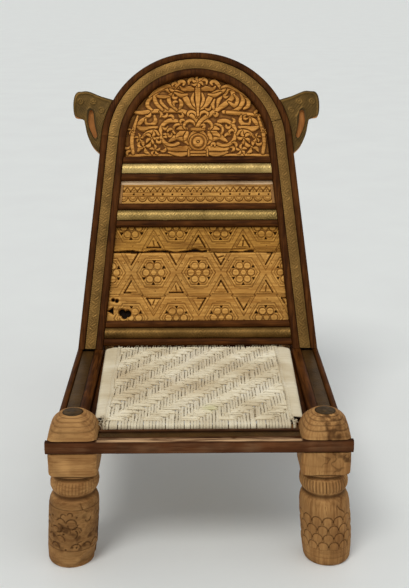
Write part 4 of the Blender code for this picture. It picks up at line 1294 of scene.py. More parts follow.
def add_ear_core(side, label, outline, slot):
    """The wooden ear: a closed body whose rings run from the floor of the slot out and round to the back."""
    front = EAR_FRONT + EAR_SHEET + GAP
    back = EAR_FRONT + EAR_THICKNESS
    hub = slot.mean(axis=0)
    narrow = slot + 0.0006 * np.sign(slot - hub)
    middle = outline.mean(axis=0)
    rounded = middle + (outline - middle) * 0.985
    layers = [
        (narrow * 0.9 + hub * 0.1, front + 0.0055),
        (narrow, front + 0.0045),
        (narrow, front),
        (outline * 0.5 + narrow * 0.5, front),
        (rounded, front),
        *((outline, depth) for depth in np.linspace(front + 0.0015, back - 0.0015, 7)),
        (rounded, back),
    ]
    rings = np.asarray([grid_of(side * loop[:, 0], depth, loop[:, 1]) for loop, depth in layers])
    floor = np.zeros(rings.shape[:2])
    # Painted shade on the floor of the slot.
    floor[:2] = 0.25
    marks = {"dirt_and_shade": np.clip(floor + 0.4 * rough(rings, 0.02, 5), 0, 1), "wear_and_highlight": 1.0 - 3 * floor}
    add_piece("ear_core_" + label, "ear_" + label, rings, BACK_PLACE, "ear", marks)


def add_ear_sheet(side, label, outline, slot):
    """The sheet brass over the ear's front, open at the slot."""
    edges = np.concatenate([[0.0, 0.0, 0.02], np.linspace(0.06, 0.94, 34), [0.98, 1.0, 1.0]])
    rings = []
    for share in edges:
        loop = slot + (outline - slot) * share
        ring = grid_of(side * loop[:, 0], EAR_FRONT, loop[:, 1])
        lift = ear_height(loop[:, 0], loop[:, 1], share) + 0.0006 * rough(ring, 0.02, 9 + side)
        ring[:, 1] -= lift * smooth_step(share, 0.0, 0.05) * smooth_step(1.0 - share, 0.0, 0.05) - 0.0003
        rings.append(ring)
    rings = np.asarray(rings)
    rings[[0, -1], :, 1] = EAR_FRONT + EAR_SHEET
    rows, columns = rings.shape[:2]
    faces = loft_faces(rows, columns)
    last = (rows - 1) * columns
    for k in range(columns):
        after = (k + 1) % columns
        faces.append((last + k, last + after, after, k))
    rise = EAR_FRONT - rings[:, :, 1]
    rim = (edges > 0.93)[:, None] + (edges < 0.13)[:, None] * 1.5
    grime_and_shade = np.clip(0.5 - rise / 0.0010, 0.0, 1.0) * 0.7 + 0.6 * rim
    marks = {
        "dirt_and_shade": np.clip(grime_and_shade * (0.8 + 0.5 * rough(rings, 0.02, 3)), 0, 1),
        "wear_and_highlight": np.clip(rise / 0.0014, 0, 1) * (1 - rim),
    }
    add_piece("ear_sheet_" + label, "ear_brass_" + label, rings, BACK_PLACE, "ear_brass", marks, faces)


def add_ears():
    """The two wooden ears and the sheet brass over their fronts."""
    outline, slot = ear_loops()
    for side, label in SIDES:
        add_ear_core(side, label, outline, slot)
        add_ear_sheet(side, label, outline, slot)


# ---------------------------------------------------------------- seat frame


def plank(name, node, axis, low, high, look, seed, corner=0.002):
    """A straight wooden bar between two corners of a box, its grain along one axis."""
    low, high = np.asarray(low), np.asarray(high)
    others = [k for k in range(3) if k != axis]
    outline = rounded_rectangle(*((high - low) / 2)[others], corner)
    scales = np.ones(50)
    scales[[0, -1]] = 0.95
    stations = np.linspace(low[axis], high[axis], 50)
    plain_bar(name, node, axis, stations, ((low + high) / 2)[others], outline, scales, SEAT_PLACE, look, seed,
              0.0004)


def rod(name, node, centre, start, end, radius, look, seed, rows, sides, dome=0.0):
    """A round bar across the chair at (y, z), slightly out of true, with softened ends or one domed."""
    angles = np.arange(sides) * math.tau / sides
    stations = np.linspace(start, end, rows)
    scales = np.ones(rows)
    scales[[0, -1]] = 0.90
    if dome:
        scales[-2:] = (0.85, 0.45)
        stations[-2] = end - math.copysign(dome, end - start) * 0.4
    outline = radius * np.stack([np.cos(angles), np.sin(angles)], axis=1)
    plain_bar(name, node, 0, stations, centre, outline, scales, SEAT_PLACE, look, seed, 0.03 * radius)


def add_side_rails():
    """The rails on each side of the seat, their inner beads worn, with strips as far as the back."""
    inner_bead = SIDE_RAIL_BEAD + SIDE_RAIL_STRIP
    section, wear_and_highlight, dirt_and_shade = moulding(SIDE_RAIL_WIDTH, SIDE_RAIL_BEAD, SIDE_RAIL_STRIP, RAIL_DEPTH)
    flat = smooth_step(section[:, 0], inner_bead, inner_bead + 0.004)
    wear_and_highlight = np.maximum(wear_and_highlight, 0.8 * flat * (section[:, 1] < CHANNEL_DEPTH))
    front = LEG_Y + BLOCK_HALF + GAP
    strip = brass_section(SIDE_RAIL_BEAD, SIDE_RAIL_STRIP)
    rows = int((BACK_Y - front) / SEAT_BRASS_PITCH)
    for side, label in SIDES:

        def lay(profile, first, last, count):
            stations = np.linspace(first, last, count)[:, None]
            return grid_of(side * (SIDE_RAIL_OUTER - profile[:, 0]), stations, RAIL_TOP - profile[:, 1])

        rings = lay(section, front, REAR_LEG_Y - REAR_BLOCK_HALF - GAP, 110)
        bar_piece("side_rail_bar_" + label, "side_rail_" + label, rings, wear_and_highlight, dirt_and_shade, IN_SEAT, "dark_along",
                  110 + side)
        rings = lay(strip, front + GAP, BACK_Y - GAP, rows)
        strip_piece("side_strip_" + label, "side_rail_brass_" + label, rings, IN_SEAT, "iron",
                    SIDE_RAIL_STRIP, SEAT_BRASS_PITCH, 115 + side, 0.3)


def add_front_rail():
    """The rail behind the front lath, its front edge worn bare, and its strip."""
    width = FRONT_RAIL_BACK - FRONT_RAIL_FRONT
    reach = LEG_X - BLOCK_HALF - GAP
    section, wear_and_highlight, dirt_and_shade = moulding(width, FRONT_RAIL_BEAD, FRONT_RAIL_STRIP, RAIL_TOP - FRONT_RAIL_BOTTOM)
    wear_and_highlight = np.maximum(0.25 * wear_and_highlight, 3.0 * (section[:, 0] < 0.0016))
    dirt_and_shade = dirt_and_shade * (section[:, 0] > 0.003)

    def lay(profile, end, count):
        stations = np.linspace(-end, end, count)[:, None]
        return grid_of(stations, FRONT_RAIL_FRONT + profile[:, 0], RAIL_TOP - profile[:, 1])

    bar_piece("front_rail_bar", "front_rail", lay(section, reach, 100), wear_and_highlight, dirt_and_shade, IN_SEAT, "front_rail",
              120)
    strip = brass_section(FRONT_RAIL_BEAD, FRONT_RAIL_STRIP)
    strip_piece("front_strip", "front_rail_brass", lay(strip, reach - GAP, int(2 * reach / SEAT_BRASS_PITCH)),
                IN_SEAT, "iron", FRONT_RAIL_STRIP, SEAT_BRASS_PITCH, 121, 0.3)


def add_front_lath():
    """The half-round lath let into both leg blocks, dark along its edges but bare between the blocks."""
    middle = (LATH_BOTTOM + LATH_TOP) / 2
    angles = np.linspace(0.0, math.pi, 23)
    back = LATH_THICKNESS - LATH_PROUD
    bulge = LATH_THICKNESS * 0.35
    swell = np.concatenate([np.sin(angles) ** 0.6, [0.0, 0.0, 0.0]])
    y = np.concatenate([bulge - (bulge + LATH_PROUD) * swell[:-3], [back, back, back]])
    z = np.concatenate([middle - (LATH_TOP - middle) * np.cos(angles), [LATH_TOP, middle, LATH_BOTTOM]])
    rings = grid_of(np.linspace(-LATH_HALF_LENGTH, LATH_HALF_LENGTH, 130)[:, None], y, z)
    edge = np.concatenate([np.abs(np.cos(angles)), [1.0, 1.0, 1.0]])
    worn = 0.28 * np.clip((1.0 - edge) * 0.35 + 0.5 * rough(rings, 0.03, 131), 0.0, 1.0)
    grimy = np.clip(smooth_step(edge, 0.72, 1.0) * 0.7 + 0.3 * rough(rings, 0.02, 132), 0.0, 1.0)
    bare = (edge > 0.985) * (np.abs(rings[:, :, 0]) < LEG_X - BLOCK_HALF)
    marks = {"wear_and_highlight": np.where(bare, 1.3, worn), "dirt_and_shade": np.where(bare, 0.0, grimy)}
    moved = rings.copy()
    moved[:, :, 1] += swell * np.abs(0.0007 * rough(rings, 0.04, 133))
    moved[1:-1, :, 2] += 0.0004 * rough(rings, 0.09, 134)[1:-1]
    add_piece("front_lath_bar", "front_lath", moved, SEAT_PLACE, "lath", marks)


def seat_half(y):
    """Half the woven seat's width that far back."""
    share = (y - SEAT_FRONT) / (SEAT_REAR - SEAT_FRONT)
    return SEAT_HALF_FRONT + (SEAT_HALF_REAR - SEAT_HALF_FRONT) * share


def add_seat_bars():
    """The rear rail and the four bars that the cord is wound on."""
    reach = SIDE_RAIL_OUTER - 2 * REAR_BLOCK_HALF - GAP
    plank("rear_rail_bar", "rear_rail", 0, (-reach, REAR_LEG_Y - 0.014, RAIL_TOP - RAIL_DEPTH),
          (reach, REAR_LEG_Y + 0.014, RAIL_TOP), "dark_across", 140, 0.004)
    reach = LEG_X - BLOCK_HALF - GAP
    plank("front_bar", "seat_bar_front", 0, (-reach, SEAT_FRONT, BAR_TOP - BAR_HEIGHT),
          (reach, SEAT_FRONT + BAR_WIDTH + 0.010, BAR_TOP), "tan_across", 141)
    inner_face = SIDE_RAIL_OUTER - SIDE_RAIL_WIDTH
    reach = inner_face + 0.018
    rod("rear_rod", "seat_bar_rear", (ROD_Y, BAR_TOP - REAR_ROD_RADIUS), -reach, reach, REAR_ROD_RADIUS,
        "dark_across", 142, 60, 28)
    across, up = rounded_rectangle(BAR_WIDTH / 2, BAR_HEIGHT / 2, 0.003).T
    y = np.linspace(LEG_Y + BLOCK_HALF + 0.004, ROD_Y - REAR_ROD_RADIUS - 2 * GAP, 60)[:, None]
    inner = seat_half(y) - 0.003 - BAR_WIDTH
    x = inner + (inner_face - GAP - inner) * (0.5 + across / BAR_WIDTH)
    for side, label in SIDES:
        rings = grid_of(side * x, y, BAR_TOP - 0.002 - BAR_HEIGHT / 2 + up)
        add_piece("side_bar_" + label, "seat_bar_" + label, rings, SEAT_PLACE, "dark_along",
                  bar_marks(rings, 144 + side))


def add_pegs():
    """The pegs through the side rails and the leg blocks."""
    inner = SIDE_RAIL_OUTER - SIDE_RAIL_WIDTH / 2 - 0.012
    spots = (
        ("front", LEG_Y + BLOCK_HALF - 0.014, LEG_X + BLOCK_HALF),
        ("rear", REAR_LEG_Y - REAR_BLOCK_HALF + 0.014, SIDE_RAIL_OUTER),
    )
    for end, y, face in spots:
        for side, label in SIDES:
            rod(end + "_dowel_" + label, end + "_peg_" + label, (y, RAIL_TOP - 0.024), side * inner,
                side * (face + 0.0012), 0.0045, "tan_across", 150, 14, 20, 0.002)


# ---------------------------------------------------------------- legs


# Up each leg: height, half width, and squareness (2 is round, and 9 is nearly square).
FRONT_LEG_LEVELS = [
    (0.000, 0.0400, 2.0),
    (0.002, 0.0420, 2.0),
    (0.006, 0.0440, 2.0),
    (0.030, 0.0460, 2.0),
    (0.085, 0.0467, 2.0),
    (0.118, 0.0460, 2.0),
    (0.127, 0.0447, 2.0),
    (0.133, 0.0425, 2.0),
    (0.138, 0.0380, 2.0),
    (0.141, 0.0372, 2.0),
    (0.145, 0.0385, 2.0),
    (0.148, 0.0420, 2.0),
    (0.154, 0.0444, 2.0),
    (0.161, 0.0450, 2.0),
    (0.168, 0.0440, 2.0),
    (0.173, 0.0420, 2.0),
    (0.1755, 0.0375, 2.0),
    (0.180, 0.0372, 2.0),
    (0.1815, 0.0405, 2.2),
    (0.1845, 0.0425, 3.0),
    (0.1855, 0.0400, 6.0),
    (0.1870, 0.0432, 8.0),
    (0.1900, 0.0446, 9.0),
    (0.1950, 0.0450, 9.0),
    (0.2430, 0.0450, 9.0),
    (0.2550, 0.0445, 6.5),
]
REAR_LEG_LEVELS = [
    (0.000, 0.0260, 2.0),
    (0.005, 0.0300, 2.0),
    (0.070, 0.0340, 2.0),
    (0.125, 0.0310, 2.0),
    (0.140, 0.0260, 2.0),
    (0.146, 0.0250, 2.0),
    (0.152, 0.0260, 2.0),
    (0.159, 0.0298, 2.0),
    (0.166, 0.0310, 2.0),
    (0.173, 0.0300, 2.0),
    (0.180, 0.0270, 2.0),
    (0.184, 0.0275, 2.5),
    (0.190, 0.0350, 5.0),
    (0.198, 0.0370, 9.0),
    (0.257, 0.0370, 9.0),
    (0.260, 0.0360, 9.0),
    (0.262, 0.0330, 8.0),
]
LEG_COLUMNS = 232
SCALE_ROWS = 4
SCALE_COLUMNS = 14
SCALE_TOP = 0.103
SCALE_STEP = 0.0172
SCALE_WIDTH = math.tau * BARREL_RADIUS / SCALE_COLUMNS


def front_leg_levels():
    """The front leg's levels with its dome and the rim round its button."""
    levels = list(FRONT_LEG_LEVELS)
    for share in (0.2, 0.35, 0.5, 0.65, 0.78, 0.87, 0.93):
        half = CAP_RADIUS + 0.003 + (BLOCK_HALF - CAP_RADIUS - 0.006) * (1 - share**2.1)
        levels.append((DOME_BASE + (LEG_TOP - DOME_BASE) * share, half, 4.2 - 2.2 * share))
    levels.append((LEG_TOP - 0.0004, CAP_RADIUS + 0.0016, 2.0))
    levels.append((LEG_TOP, CAP_RADIUS + GAP, 2.0))
    return levels


def post_shape(levels, turns, count):
    """Half widths up a post, the (sine, cosine) of each place round it on its outline, and the heights."""
    profile = even_points(levels, count, 2)
    squareness = profile[:, 2:3]
    sine, cosine = np.sin(turns), np.cos(turns)
    reach = (np.abs(sine) ** squareness + np.abs(cosine) ** squareness) ** (1.0 / squareness)
    heights = np.repeat(profile[:, :1], len(turns), axis=1)
    return profile[:, 1:2], sine / reach, cosine / reach, heights


def hump(values, middle, spread):
    """1 at the middle, falling smoothly to 0 on both sides."""
    return np.exp(-(((values - middle) / spread) ** 2))


def scale_centre(column, row):
    """The middle of a scale on the barrel, each second row half a scale further round."""
    return ((column + 0.5 * (row % 2)) * SCALE_WIDTH, SCALE_TOP - row * SCALE_STEP - SCALE_WIDTH / 2)


def carve_scales(relief):
    """Rows of overlapping round-topped scales round the barrel, over fine turned lines at its foot."""
    for row in range(SCALE_ROWS):
        for k in range(-SCALE_COLUMNS // 2 - 1, SCALE_COLUMNS // 2 + 2):
            x, s = scale_centre(k, row)
            relief.ring_groove((x, s), SCALE_WIDTH * 0.47, 2.2 * MM, 1.7 * MM, 0, 180)
            for end in (-1, 1):
                foot = x + end * SCALE_WIDTH * 0.47
                relief.groove(((foot, s), (foot - end * 0.0012, s - 0.005)), 2.2 * MM, 1.5 * MM)
            rows = relief.rows_near(s - 0.008, s + SCALE_WIDTH / 2)
            away = np.hypot(relief.x[rows] - x, relief.s[rows] - s) / (0.44 * SCALE_WIDTH)
            relief.height[rows] += 0.0007 * np.clip(1.0 - away**2, 0.0, 1.0)
    for height in (0.034, 0.0305, 0.027, 0.018):
        relief.groove(((-0.2, height), (0.2, height)), 1.6 * MM, 0.8 * MM)
    relief.groove(((0.020, 0.124), (0.024, 0.117), (0.031, 0.112), (0.036, 0.106)), 1.8 * MM, 1.6 * MM)
    relief.groove(((-0.004, 0.124), (-0.002, 0.108)), 1.4 * MM, 0.8 * MM)


def carve_worn_barrel(relief):
    """Carving worn past reading: parts of scales, short curls, pits and splits."""
    rng = np.random.default_rng(9)
    for row in range(SCALE_ROWS):
        for k in range(-SCALE_COLUMNS // 2, SCALE_COLUMNS // 2 + 1):
            if rng.random() < 0.55:
                relief.ring_groove(scale_centre(k, row), SCALE_WIDTH * 0.47, 2.8 * MM, 2.0 * MM,
                                   rng.uniform(0, 50), rng.uniform(110, 180))
    for k in range(20):
        centre = (rng.uniform(-0.15, 0.15), rng.uniform(0.045, 0.112))
        radius = rng.uniform(0.004, 0.010)
        start = rng.uniform(0, 360)
        relief.ring_groove(centre, radius, rng.uniform(1.8, 3.4) * MM, rng.uniform(1.0, 2.6) * MM, start,
                           start + rng.uniform(70, 200))
    for k in range(26):
        spot = (rng.uniform(-0.15, 0.15), rng.uniform(0.035, 0.115))
        relief.drill(spot, rng.uniform(1.6, 3.8) * MM, rng.uniform(1.2, 3.2) * MM)
    for height in (0.037, 0.120):
        line = ((-0.2, height), (-0.05, height + 0.001), (0.05, height - 0.001), (0.2, height))
        relief.groove(line, 1.8 * MM, 0.9 * MM)
    relief.groove(((0.016, 0.134), (0.021, 0.120), (0.030, 0.114)), 1.6 * MM, 1.4 * MM)
    relief.drill((-0.062, 0.066), 6.5 * MM, 3.4 * MM)
    relief.drill((-0.066, 0.083), 4.0 * MM, 2.4 * MM)


def barrel_carving(side, turns, heights):
    """Depth and painted shade of the carving round a front leg's barrel and of the flutes on the ring above.
    """
    order = np.argsort(heights[:, 0], kind="stable")
    round_x = np.repeat(turns[None, :] * BARREL_RADIUS, len(heights), axis=0)
    relief = Relief(round_x, heights[order])
    if side > 0:
        carve_scales(relief)
    else:
        carve_worn_barrel(relief)
    barrel = smooth_step(heights, 0.004, 0.010) * smooth_step(0.136 - heights, 0.0, 0.006)
    height = np.zeros_like(heights)
    dirt_and_shade = np.zeros_like(heights)
    height[order] = relief.height
    # Painted shade in the carved hollows.
    dirt_and_shade[order] = relief.hollows(3, 0.0011 if side > 0 else 0.0008)
    ring = smooth_step(heights, 0.147, 0.151) * smooth_step(0.174 - heights, 0.0, 0.004)
    # Painted shade in the valleys of the flutes.
    valleys = ring * (1.0 - np.abs(np.sin(22 * turns)) ** 0.7)
    height = height * barrel - (0.0018 if side > 0 else 0.0009) * valleys
    return height, dirt_and_shade * barrel * 0.8 + (0.85 if side > 0 else 0.45) * valleys, barrel


def right_stains(x, y, z, points):
    """The dirt of the right leg's crack, dark run and knots, and how far the crack draws its front in."""
    crack_x = -0.004 + 0.010 * (LEG_TOP - z) / 0.05 + 0.003 * rough(points, 0.01, 3)
    crack = hump(x, crack_x, 0.003) * (y < 0.0) * smooth_step(z, 0.245, 0.255)
    front = smooth_step(-y, -0.004, 0.006) * smooth_step(z, 0.250, 0.262)
    mottle = smooth_step(rough(points, 0.009, 8), -0.45, 0.35)
    run = hump(x, 0.004 + 0.55 * (LEG_TOP - z), 0.017) * front * mottle
    patch = hump(x, 0.026, 0.016) * smooth_step(z, 0.205, 0.222) * (y < 0.0) * mottle
    knots = smooth_step(0.08 - np.abs(rough(points, 0.022, 83)), 0.0, 0.06)
    knots = knots * smooth_step(x, -0.015, 0.0) * smooth_step(z, 0.188, 0.196)
    dirt_and_shade = 0.6 * crack * smooth_step(0.288 - z, 0.0, 0.006) + 0.95 * run
    return dirt_and_shade + (0.65 * patch + 0.55 * knots) * (z < 0.2335), 1.0 - 0.03 * crack


def add_front_leg(side, label):
    """A turned front leg: carved barrel, fluted ring, square block let in behind the lath, and dome."""
    levels = front_leg_levels()
    length = np.hypot(*np.diff(np.asarray(levels)[:, :2], axis=0).T).sum()
    turns = -math.pi + math.tau * np.arange(LEG_COLUMNS) / LEG_COLUMNS
    half, unit_x, unit_y, heights = post_shape(levels, turns, int(length / 0.00125))
    height, dirt_and_shade, barrel = barrel_carving(side, turns, heights)
    around = grid_of(half * np.sin(turns), half * np.cos(turns), heights)
    cloudy = rough(around, 0.03, 61)
    if side < 0:
        blotches = smooth_step(rough(around, 0.016, 67), 0.0, 0.6) * smooth_step(0.118 - heights, 0.0, 0.02)
        dirt_and_shade += barrel * (0.38 + 0.30 * cloudy + 0.80 * blotches * smooth_step(heights, 0.030, 0.045))
    else:
        dirt_and_shade += barrel * (0.14 + 0.15 * cloudy)
    # Painted shade in the turned grooves.
    for middle, spread in ((0.140, 0.0045), (0.1778, 0.0032), (0.1858, 0.0012)):
        dirt_and_shade += 0.85 * hump(heights, middle, spread)
    points = grid_of(half * unit_x, -half * unit_y, heights)
    uneven = rough(points, 0.035, 200 + side, 3) * 0.0009 + rough(points, 0.008, 205 + side, 2) * 0.00025
    foot_fade = smooth_step(heights, 0.0, 0.004)
    fade = smooth_step(LEG_TOP - heights, 0.0, 0.006) * foot_fade
    size = 1.0 + (height + uneven - 0.0003) / np.maximum(half, 0.02) * fade
    x = points[:, :, 0] * size
    y = points[:, :, 1] * size
    dome = smooth_step(heights, DOME_BASE - 0.006, DOME_BASE + 0.006)
    growth = half + 0.5 * (LEG_TOP - heights) + 0.0010 * rough(points, 0.025, 7)
    growth_rings = dome * smooth_step(0.5 + 0.5 * np.cos(math.tau * growth / 0.0085), 0.70, 1.0)
    dirt_and_shade += (0.55 if side > 0 else 0.42) * growth_rings
    z = heights - 0.0005 * growth_rings
    block = smooth_step(heights, 0.190, 0.196) * smooth_step(0.262 - heights, 0.0, 0.01)
    dirt_and_shade += block * 0.35 * smooth_step(rough(points * (1.0, 1.0, 6.0), 0.05, 31 + side), 0.25, 0.8)
    if side > 0:
        stains, drawn_in = right_stains(x, y, z, points)
        dirt_and_shade += stains
        y = y * drawn_in
    else:
        chip = smooth_step(x + 0.9 * (0.026 - heights) + 0.004 * cloudy, 0.022, 0.040)
        chip = chip * (y < 0.01) * foot_fade * smooth_step(0.036 - heights, 0.0, 0.016)
        x = x - 0.0030 * chip
        y = y + 0.0035 * chip
    dirt_and_shade += 0.5 * smooth_step(0.016 - heights, 0.0, 0.014) * (0.6 + 0.6 * rough(points, 0.015, 77))
    lean = np.maximum(0.0, BLOCK_BOTTOM - heights) * LEG_SPLAY
    let_in = (heights > LATH_BOTTOM - 0.0006) & (heights < LATH_TOP + 0.0006)
    lath_back = LATH_THICKNESS - LATH_PROUD + GAP
    deep = np.where(let_in, np.maximum(LEG_Y + y, lath_back), LEG_Y + y)
    body = grid_of(side * (LEG_X + lean) + x, deep, z)
    centre = np.array([side * LEG_X, LEG_Y, 0.0])
    well = (body[-1] - centre) * (0.99, 0.99, 1.0) + centre
    well[:, 2] = LEG_TOP - CAP_THICKNESS
    rings = np.concatenate([body, well[None]])
    # Painted shade in the well under the button.
    dirt_and_shade = np.concatenate([dirt_and_shade, np.ones((1, LEG_COLUMNS))])
    wear_and_highlight = np.clip(0.35 + 0.6 * rough(rings, 0.03, 41 + side), 0.0, 1.0) * (1 - np.clip(dirt_and_shade, 0, 1))
    marks = {"dirt_and_shade": np.clip(dirt_and_shade, 0.0, 0.86), "wear_and_highlight": wear_and_highlight}
    add_piece("front_leg_post_" + label, "front_leg_" + label, rings, SEAT_PLACE, "leg_" + label, marks)


def add_cap(side, label):
    """The shallow metal button in the top of a leg, hammered and dirty."""
    base = LEG_TOP - CAP_THICKNESS + GAP
    radius = CAP_RADIUS - 0.0004
    levels = [(base, radius), (base + 0.0022, radius), (base + 0.0029, radius - 0.0010)]
    for k in range(1, 11):
        rise = 0.0008 * math.sin(math.pi / 2 * k / 10)
        levels.append((base + 0.0029 + rise, (radius - 0.001) * (1 - k / 10.5)))
    heights, reach = np.asarray(levels).T[:, :, None]
    angles = np.arange(56) * math.tau / 56
    rings = grid_of(side * LEG_X + reach * np.cos(angles), LEG_Y + reach * np.sin(angles), heights)
    rings[3:, :, 2] += 0.0004 * rough(rings, 0.006, 160 + side)[3:] - 0.0002
    dirt_and_shade = np.clip(0.35 + 0.8 * rough(rings, 0.008, 163 + side), 0.0, 1.0)
    dirt_and_shade[:3] = 0.8
    add_piece("leg_button_" + label, "leg_cap_" + label, rings, SEAT_PLACE, "iron",
              {"dirt_and_shade": dirt_and_shade, "wear_and_highlight": 0.3 * (1 - dirt_and_shade)})


def add_rear_leg(side, label):
    """A plain turned rear leg with a square block."""
    turns = math.tau * np.arange(120) / 120
    half, unit_x, unit_y, heights = post_shape(REAR_LEG_LEVELS, turns, 130)
    points = grid_of(half * unit_x, half * unit_y, heights)
    fade = smooth_step(heights, 0.0, 0.01) * smooth_step(REAR_LEG_TOP - heights, 0.0, 0.01)
    size = 1.0 - np.abs(0.0008 * rough(points, 0.03, 210 + side)) * fade / 0.03
    rings = points * np.stack([size, size, np.ones_like(size)], axis=2)
    rings += (side * (SIDE_RAIL_OUTER - REAR_BLOCK_HALF), REAR_LEG_Y, 0.0)
    # Painted shade in the turned grooves; the patches added next are real dirt.
    dirt_and_shade = 0.7 * hump(heights, 0.146, 0.006) + 0.7 * hump(heights, 0.183, 0.004)
    dirt_and_shade += 0.4 * smooth_step(rough(points, 0.03, 220), 0.2, 0.8)
    marks = {"dirt_and_shade": np.clip(dirt_and_shade, 0, 1), "wear_and_highlight": np.clip(0.4 + 0.5 * rough(points, 0.02, 221), 0, 1)}
    add_piece("rear_leg_post_" + label, "rear_leg_" + label, rings, SEAT_PLACE, "tan_upright", marks)


# ---------------------------------------------------------------- woven seat


WARP_PITCH = 0.0057
WARP_RADIUS = 0.00262
WEFT_PITCH = 0.0047
WEFT_RADIUS = 0.0021
WEFTS_TOGETHER = 3
REPEAT = 12
SHIFT = 2
MARGIN_PITCH = 0.0027
FIELD_HALF = 0.1695
FIELD_FRONT = 0.084
FIELD_REAR = 0.449
OVER = SEAT_TOP - 0.0030
UNDER = OVER - 0.0042
WARPS = int(2 * FIELD_HALF / WARP_PITCH)

# Old stains on the seat: x, y, size and strength.
SEAT_STAINS = (
    (-0.148, 0.295, 0.030, 0.55),
    (-0.02, 0.235, 0.045, 0.45),
    (-0.10, 0.24, 0.07, 0.30),
    (-0.14, 0.20, 0.035, 0.35),
    (0.10, 0.30, 0.04, 0.25),
    (0.03, 0.37, 0.05, 0.2),
)


class Cords:
    """Many round cords gathered into one mesh, with marks for tint, dirt and painted shade, and stains."""

    def __init__(self, seed):
        self.rng = np.random.default_rng(seed)
        self.vertices = []
        self.faces = []
        self.marks = {"tint": [], "dirt_and_shade": [], "stain": [], "moss": []}
        self.count = 0

    def add(self, path, radius, square, sides=6, grime_and_shade=0.0):
        """One cord along a path; square is a direction that stays square to it."""
        path = np.asarray(path, dtype=float)
        radius = np.broadcast_to(np.asarray(radius, dtype=float), (len(path),))
        tangent = np.gradient(path, axis=0)
        tangent /= np.linalg.norm(tangent, axis=1, keepdims=True)
        sideways = np.cross(tangent, np.cross(np.broadcast_to(square, path.shape), tangent))
        sideways /= np.linalg.norm(sideways, axis=1, keepdims=True)
        upward = np.cross(sideways, tangent)
        angles = math.tau * (np.arange(sides)[:, None] + 0.5) / sides
        offsets = sideways[:, None] * np.cos(angles) + upward[:, None] * np.sin(angles)
        flat = (path[:, None] + radius[:, None, None] * offsets).reshape(-1, 3)
        self.faces += [[self.count + k for k in face] for face in capped_loft_faces(len(path), sides)]
        self.vertices.append(flat)
        self.count += len(flat)
        # Painted shade on the lower parts of each cord, where it dips under its neighbours, over any real
        # grime.
        depth = smooth_step(OVER - flat[:, 2], -0.0014, 0.0042)
        self.marks["dirt_and_shade"].append(np.clip(0.64 * depth**1.4 + grime_and_shade, 0.0, 1.0))
        tint = self.rng.uniform(0.0, 0.55) + 0.35 * rough(flat, 0.05, 5)
        self.marks["tint"].append(np.clip(tint, 0.0, 1.0))
        stain = sum(share * blot(flat, x, y, size) for x, y, size, share in SEAT_STAINS)
        self.marks["stain"].append(np.clip(stain, 0.0, 1.0))
        self.marks["moss"].append(0.8 * blot(flat, 0.022, 0.133, 0.013))

    def finish(self, name):
        marks = {label: np.concatenate(values) for label, values in self.marks.items()}
        add_piece(name, "seat_weave", np.vstack(self.vertices), SEAT_PLACE, "cotton", marks, self.faces)


def blot(points, x, y, size):
    """1 at a place on the seat, falling to 0 about that size away, with an uneven edge."""
    away = np.hypot(points[:, 0] - x, points[:, 1] - y) / size
    return np.exp(-((away + 0.35 * rough(points, 0.02, 12)) ** 2))


def weft_is_over(group, warp):
    """The stepped twill: each group of wefts passes over half of each repeat, two warps on from the last."""
    return (warp - SHIFT * group) % REPEAT < REPEAT // 2


def softened(values):
    """Each value blended with its two neighbours."""
    padded = np.concatenate([values[:1], values, values[-1:]])
    return 0.25 * padded[:-2] + 0.5 * padded[1:-1] + 0.25 * padded[2:]


def weft_places():
    """(y, group) of each weft cord, with a little more room between groups."""
    places = []
    y = FIELD_FRONT
    index = 0
    while y < FIELD_REAR - 0.006:
        places.append((y, index // WEFTS_TOGETHER))
        index += 1
        y += WEFT_PITCH + (0.0010 if index % WEFTS_TOGETHER == 0 else -0.0001)
    return places


def add_wefts():
    """The cords that run across the seat, over and under the warps."""
    cords = Cords(301)
    rng = np.random.default_rng(302)
    steps = 2 * WARPS + 1
    x = np.linspace(-FIELD_HALF, FIELD_HALF, steps)
    warps = (x + FIELD_HALF) / WARP_PITCH
    for y, group in weft_places():
        slip = rng.integers(0, 2) * 0.5
        over = np.array([weft_is_over(group, int(math.floor(w + slip))) for w in warps], dtype=float)
        lift = softened(softened(over))
        z = UNDER + (OVER - UNDER) * lift + 0.0002 * rng.standard_normal()
        edge = smooth_step(np.abs(x), FIELD_HALF - 0.006, FIELD_HALF)
        z = z - 0.0035 * edge
        bow = 0.0011 * np.sin(math.pi * (x / FIELD_HALF) + rng.uniform(0, 6)) * rng.uniform(0.3, 1.0)
        path = np.stack([x, y + bow + 0.00045 * rng.standard_normal(steps), z], axis=1)
        radius = WEFT_RADIUS * rng.uniform(0.9, 1.06) * (0.96 + 0.08 * lift)
        cords.add(path, radius, (0.0, 1.0, 0.0))
    cords.finish("weft_cords")


def front_bend(x, rng):
    """The start of a warp: up from behind the front rail and over the front bar."""
    y0 = SEAT_FRONT + 0.0030
    return [
        (x, y0 + 0.0004, BAR_TOP + 0.0012),
        (x, y0 + 0.0002, BAR_TOP + 0.0048),
        (x, y0 + 0.0020, OVER - 0.0012 + 0.0003 * rng.standard_normal()),
        (x, y0 + 0.0058, OVER + 0.0004),
        (x, y0 + 0.0120, OVER + 0.0002),
        (x, y0 + 0.0180, OVER - 0.0003),
    ]


def rear_bend(x):
    """The end of a warp: over the rear rod and down behind it."""
    turns = ((0.001, 0.0015), (0.006, 0.0045), (0.0095, 0.0095), (0.0095, 0.0160))
    return [(x, ROD_Y + behind, OVER - below) for behind, below in turns]


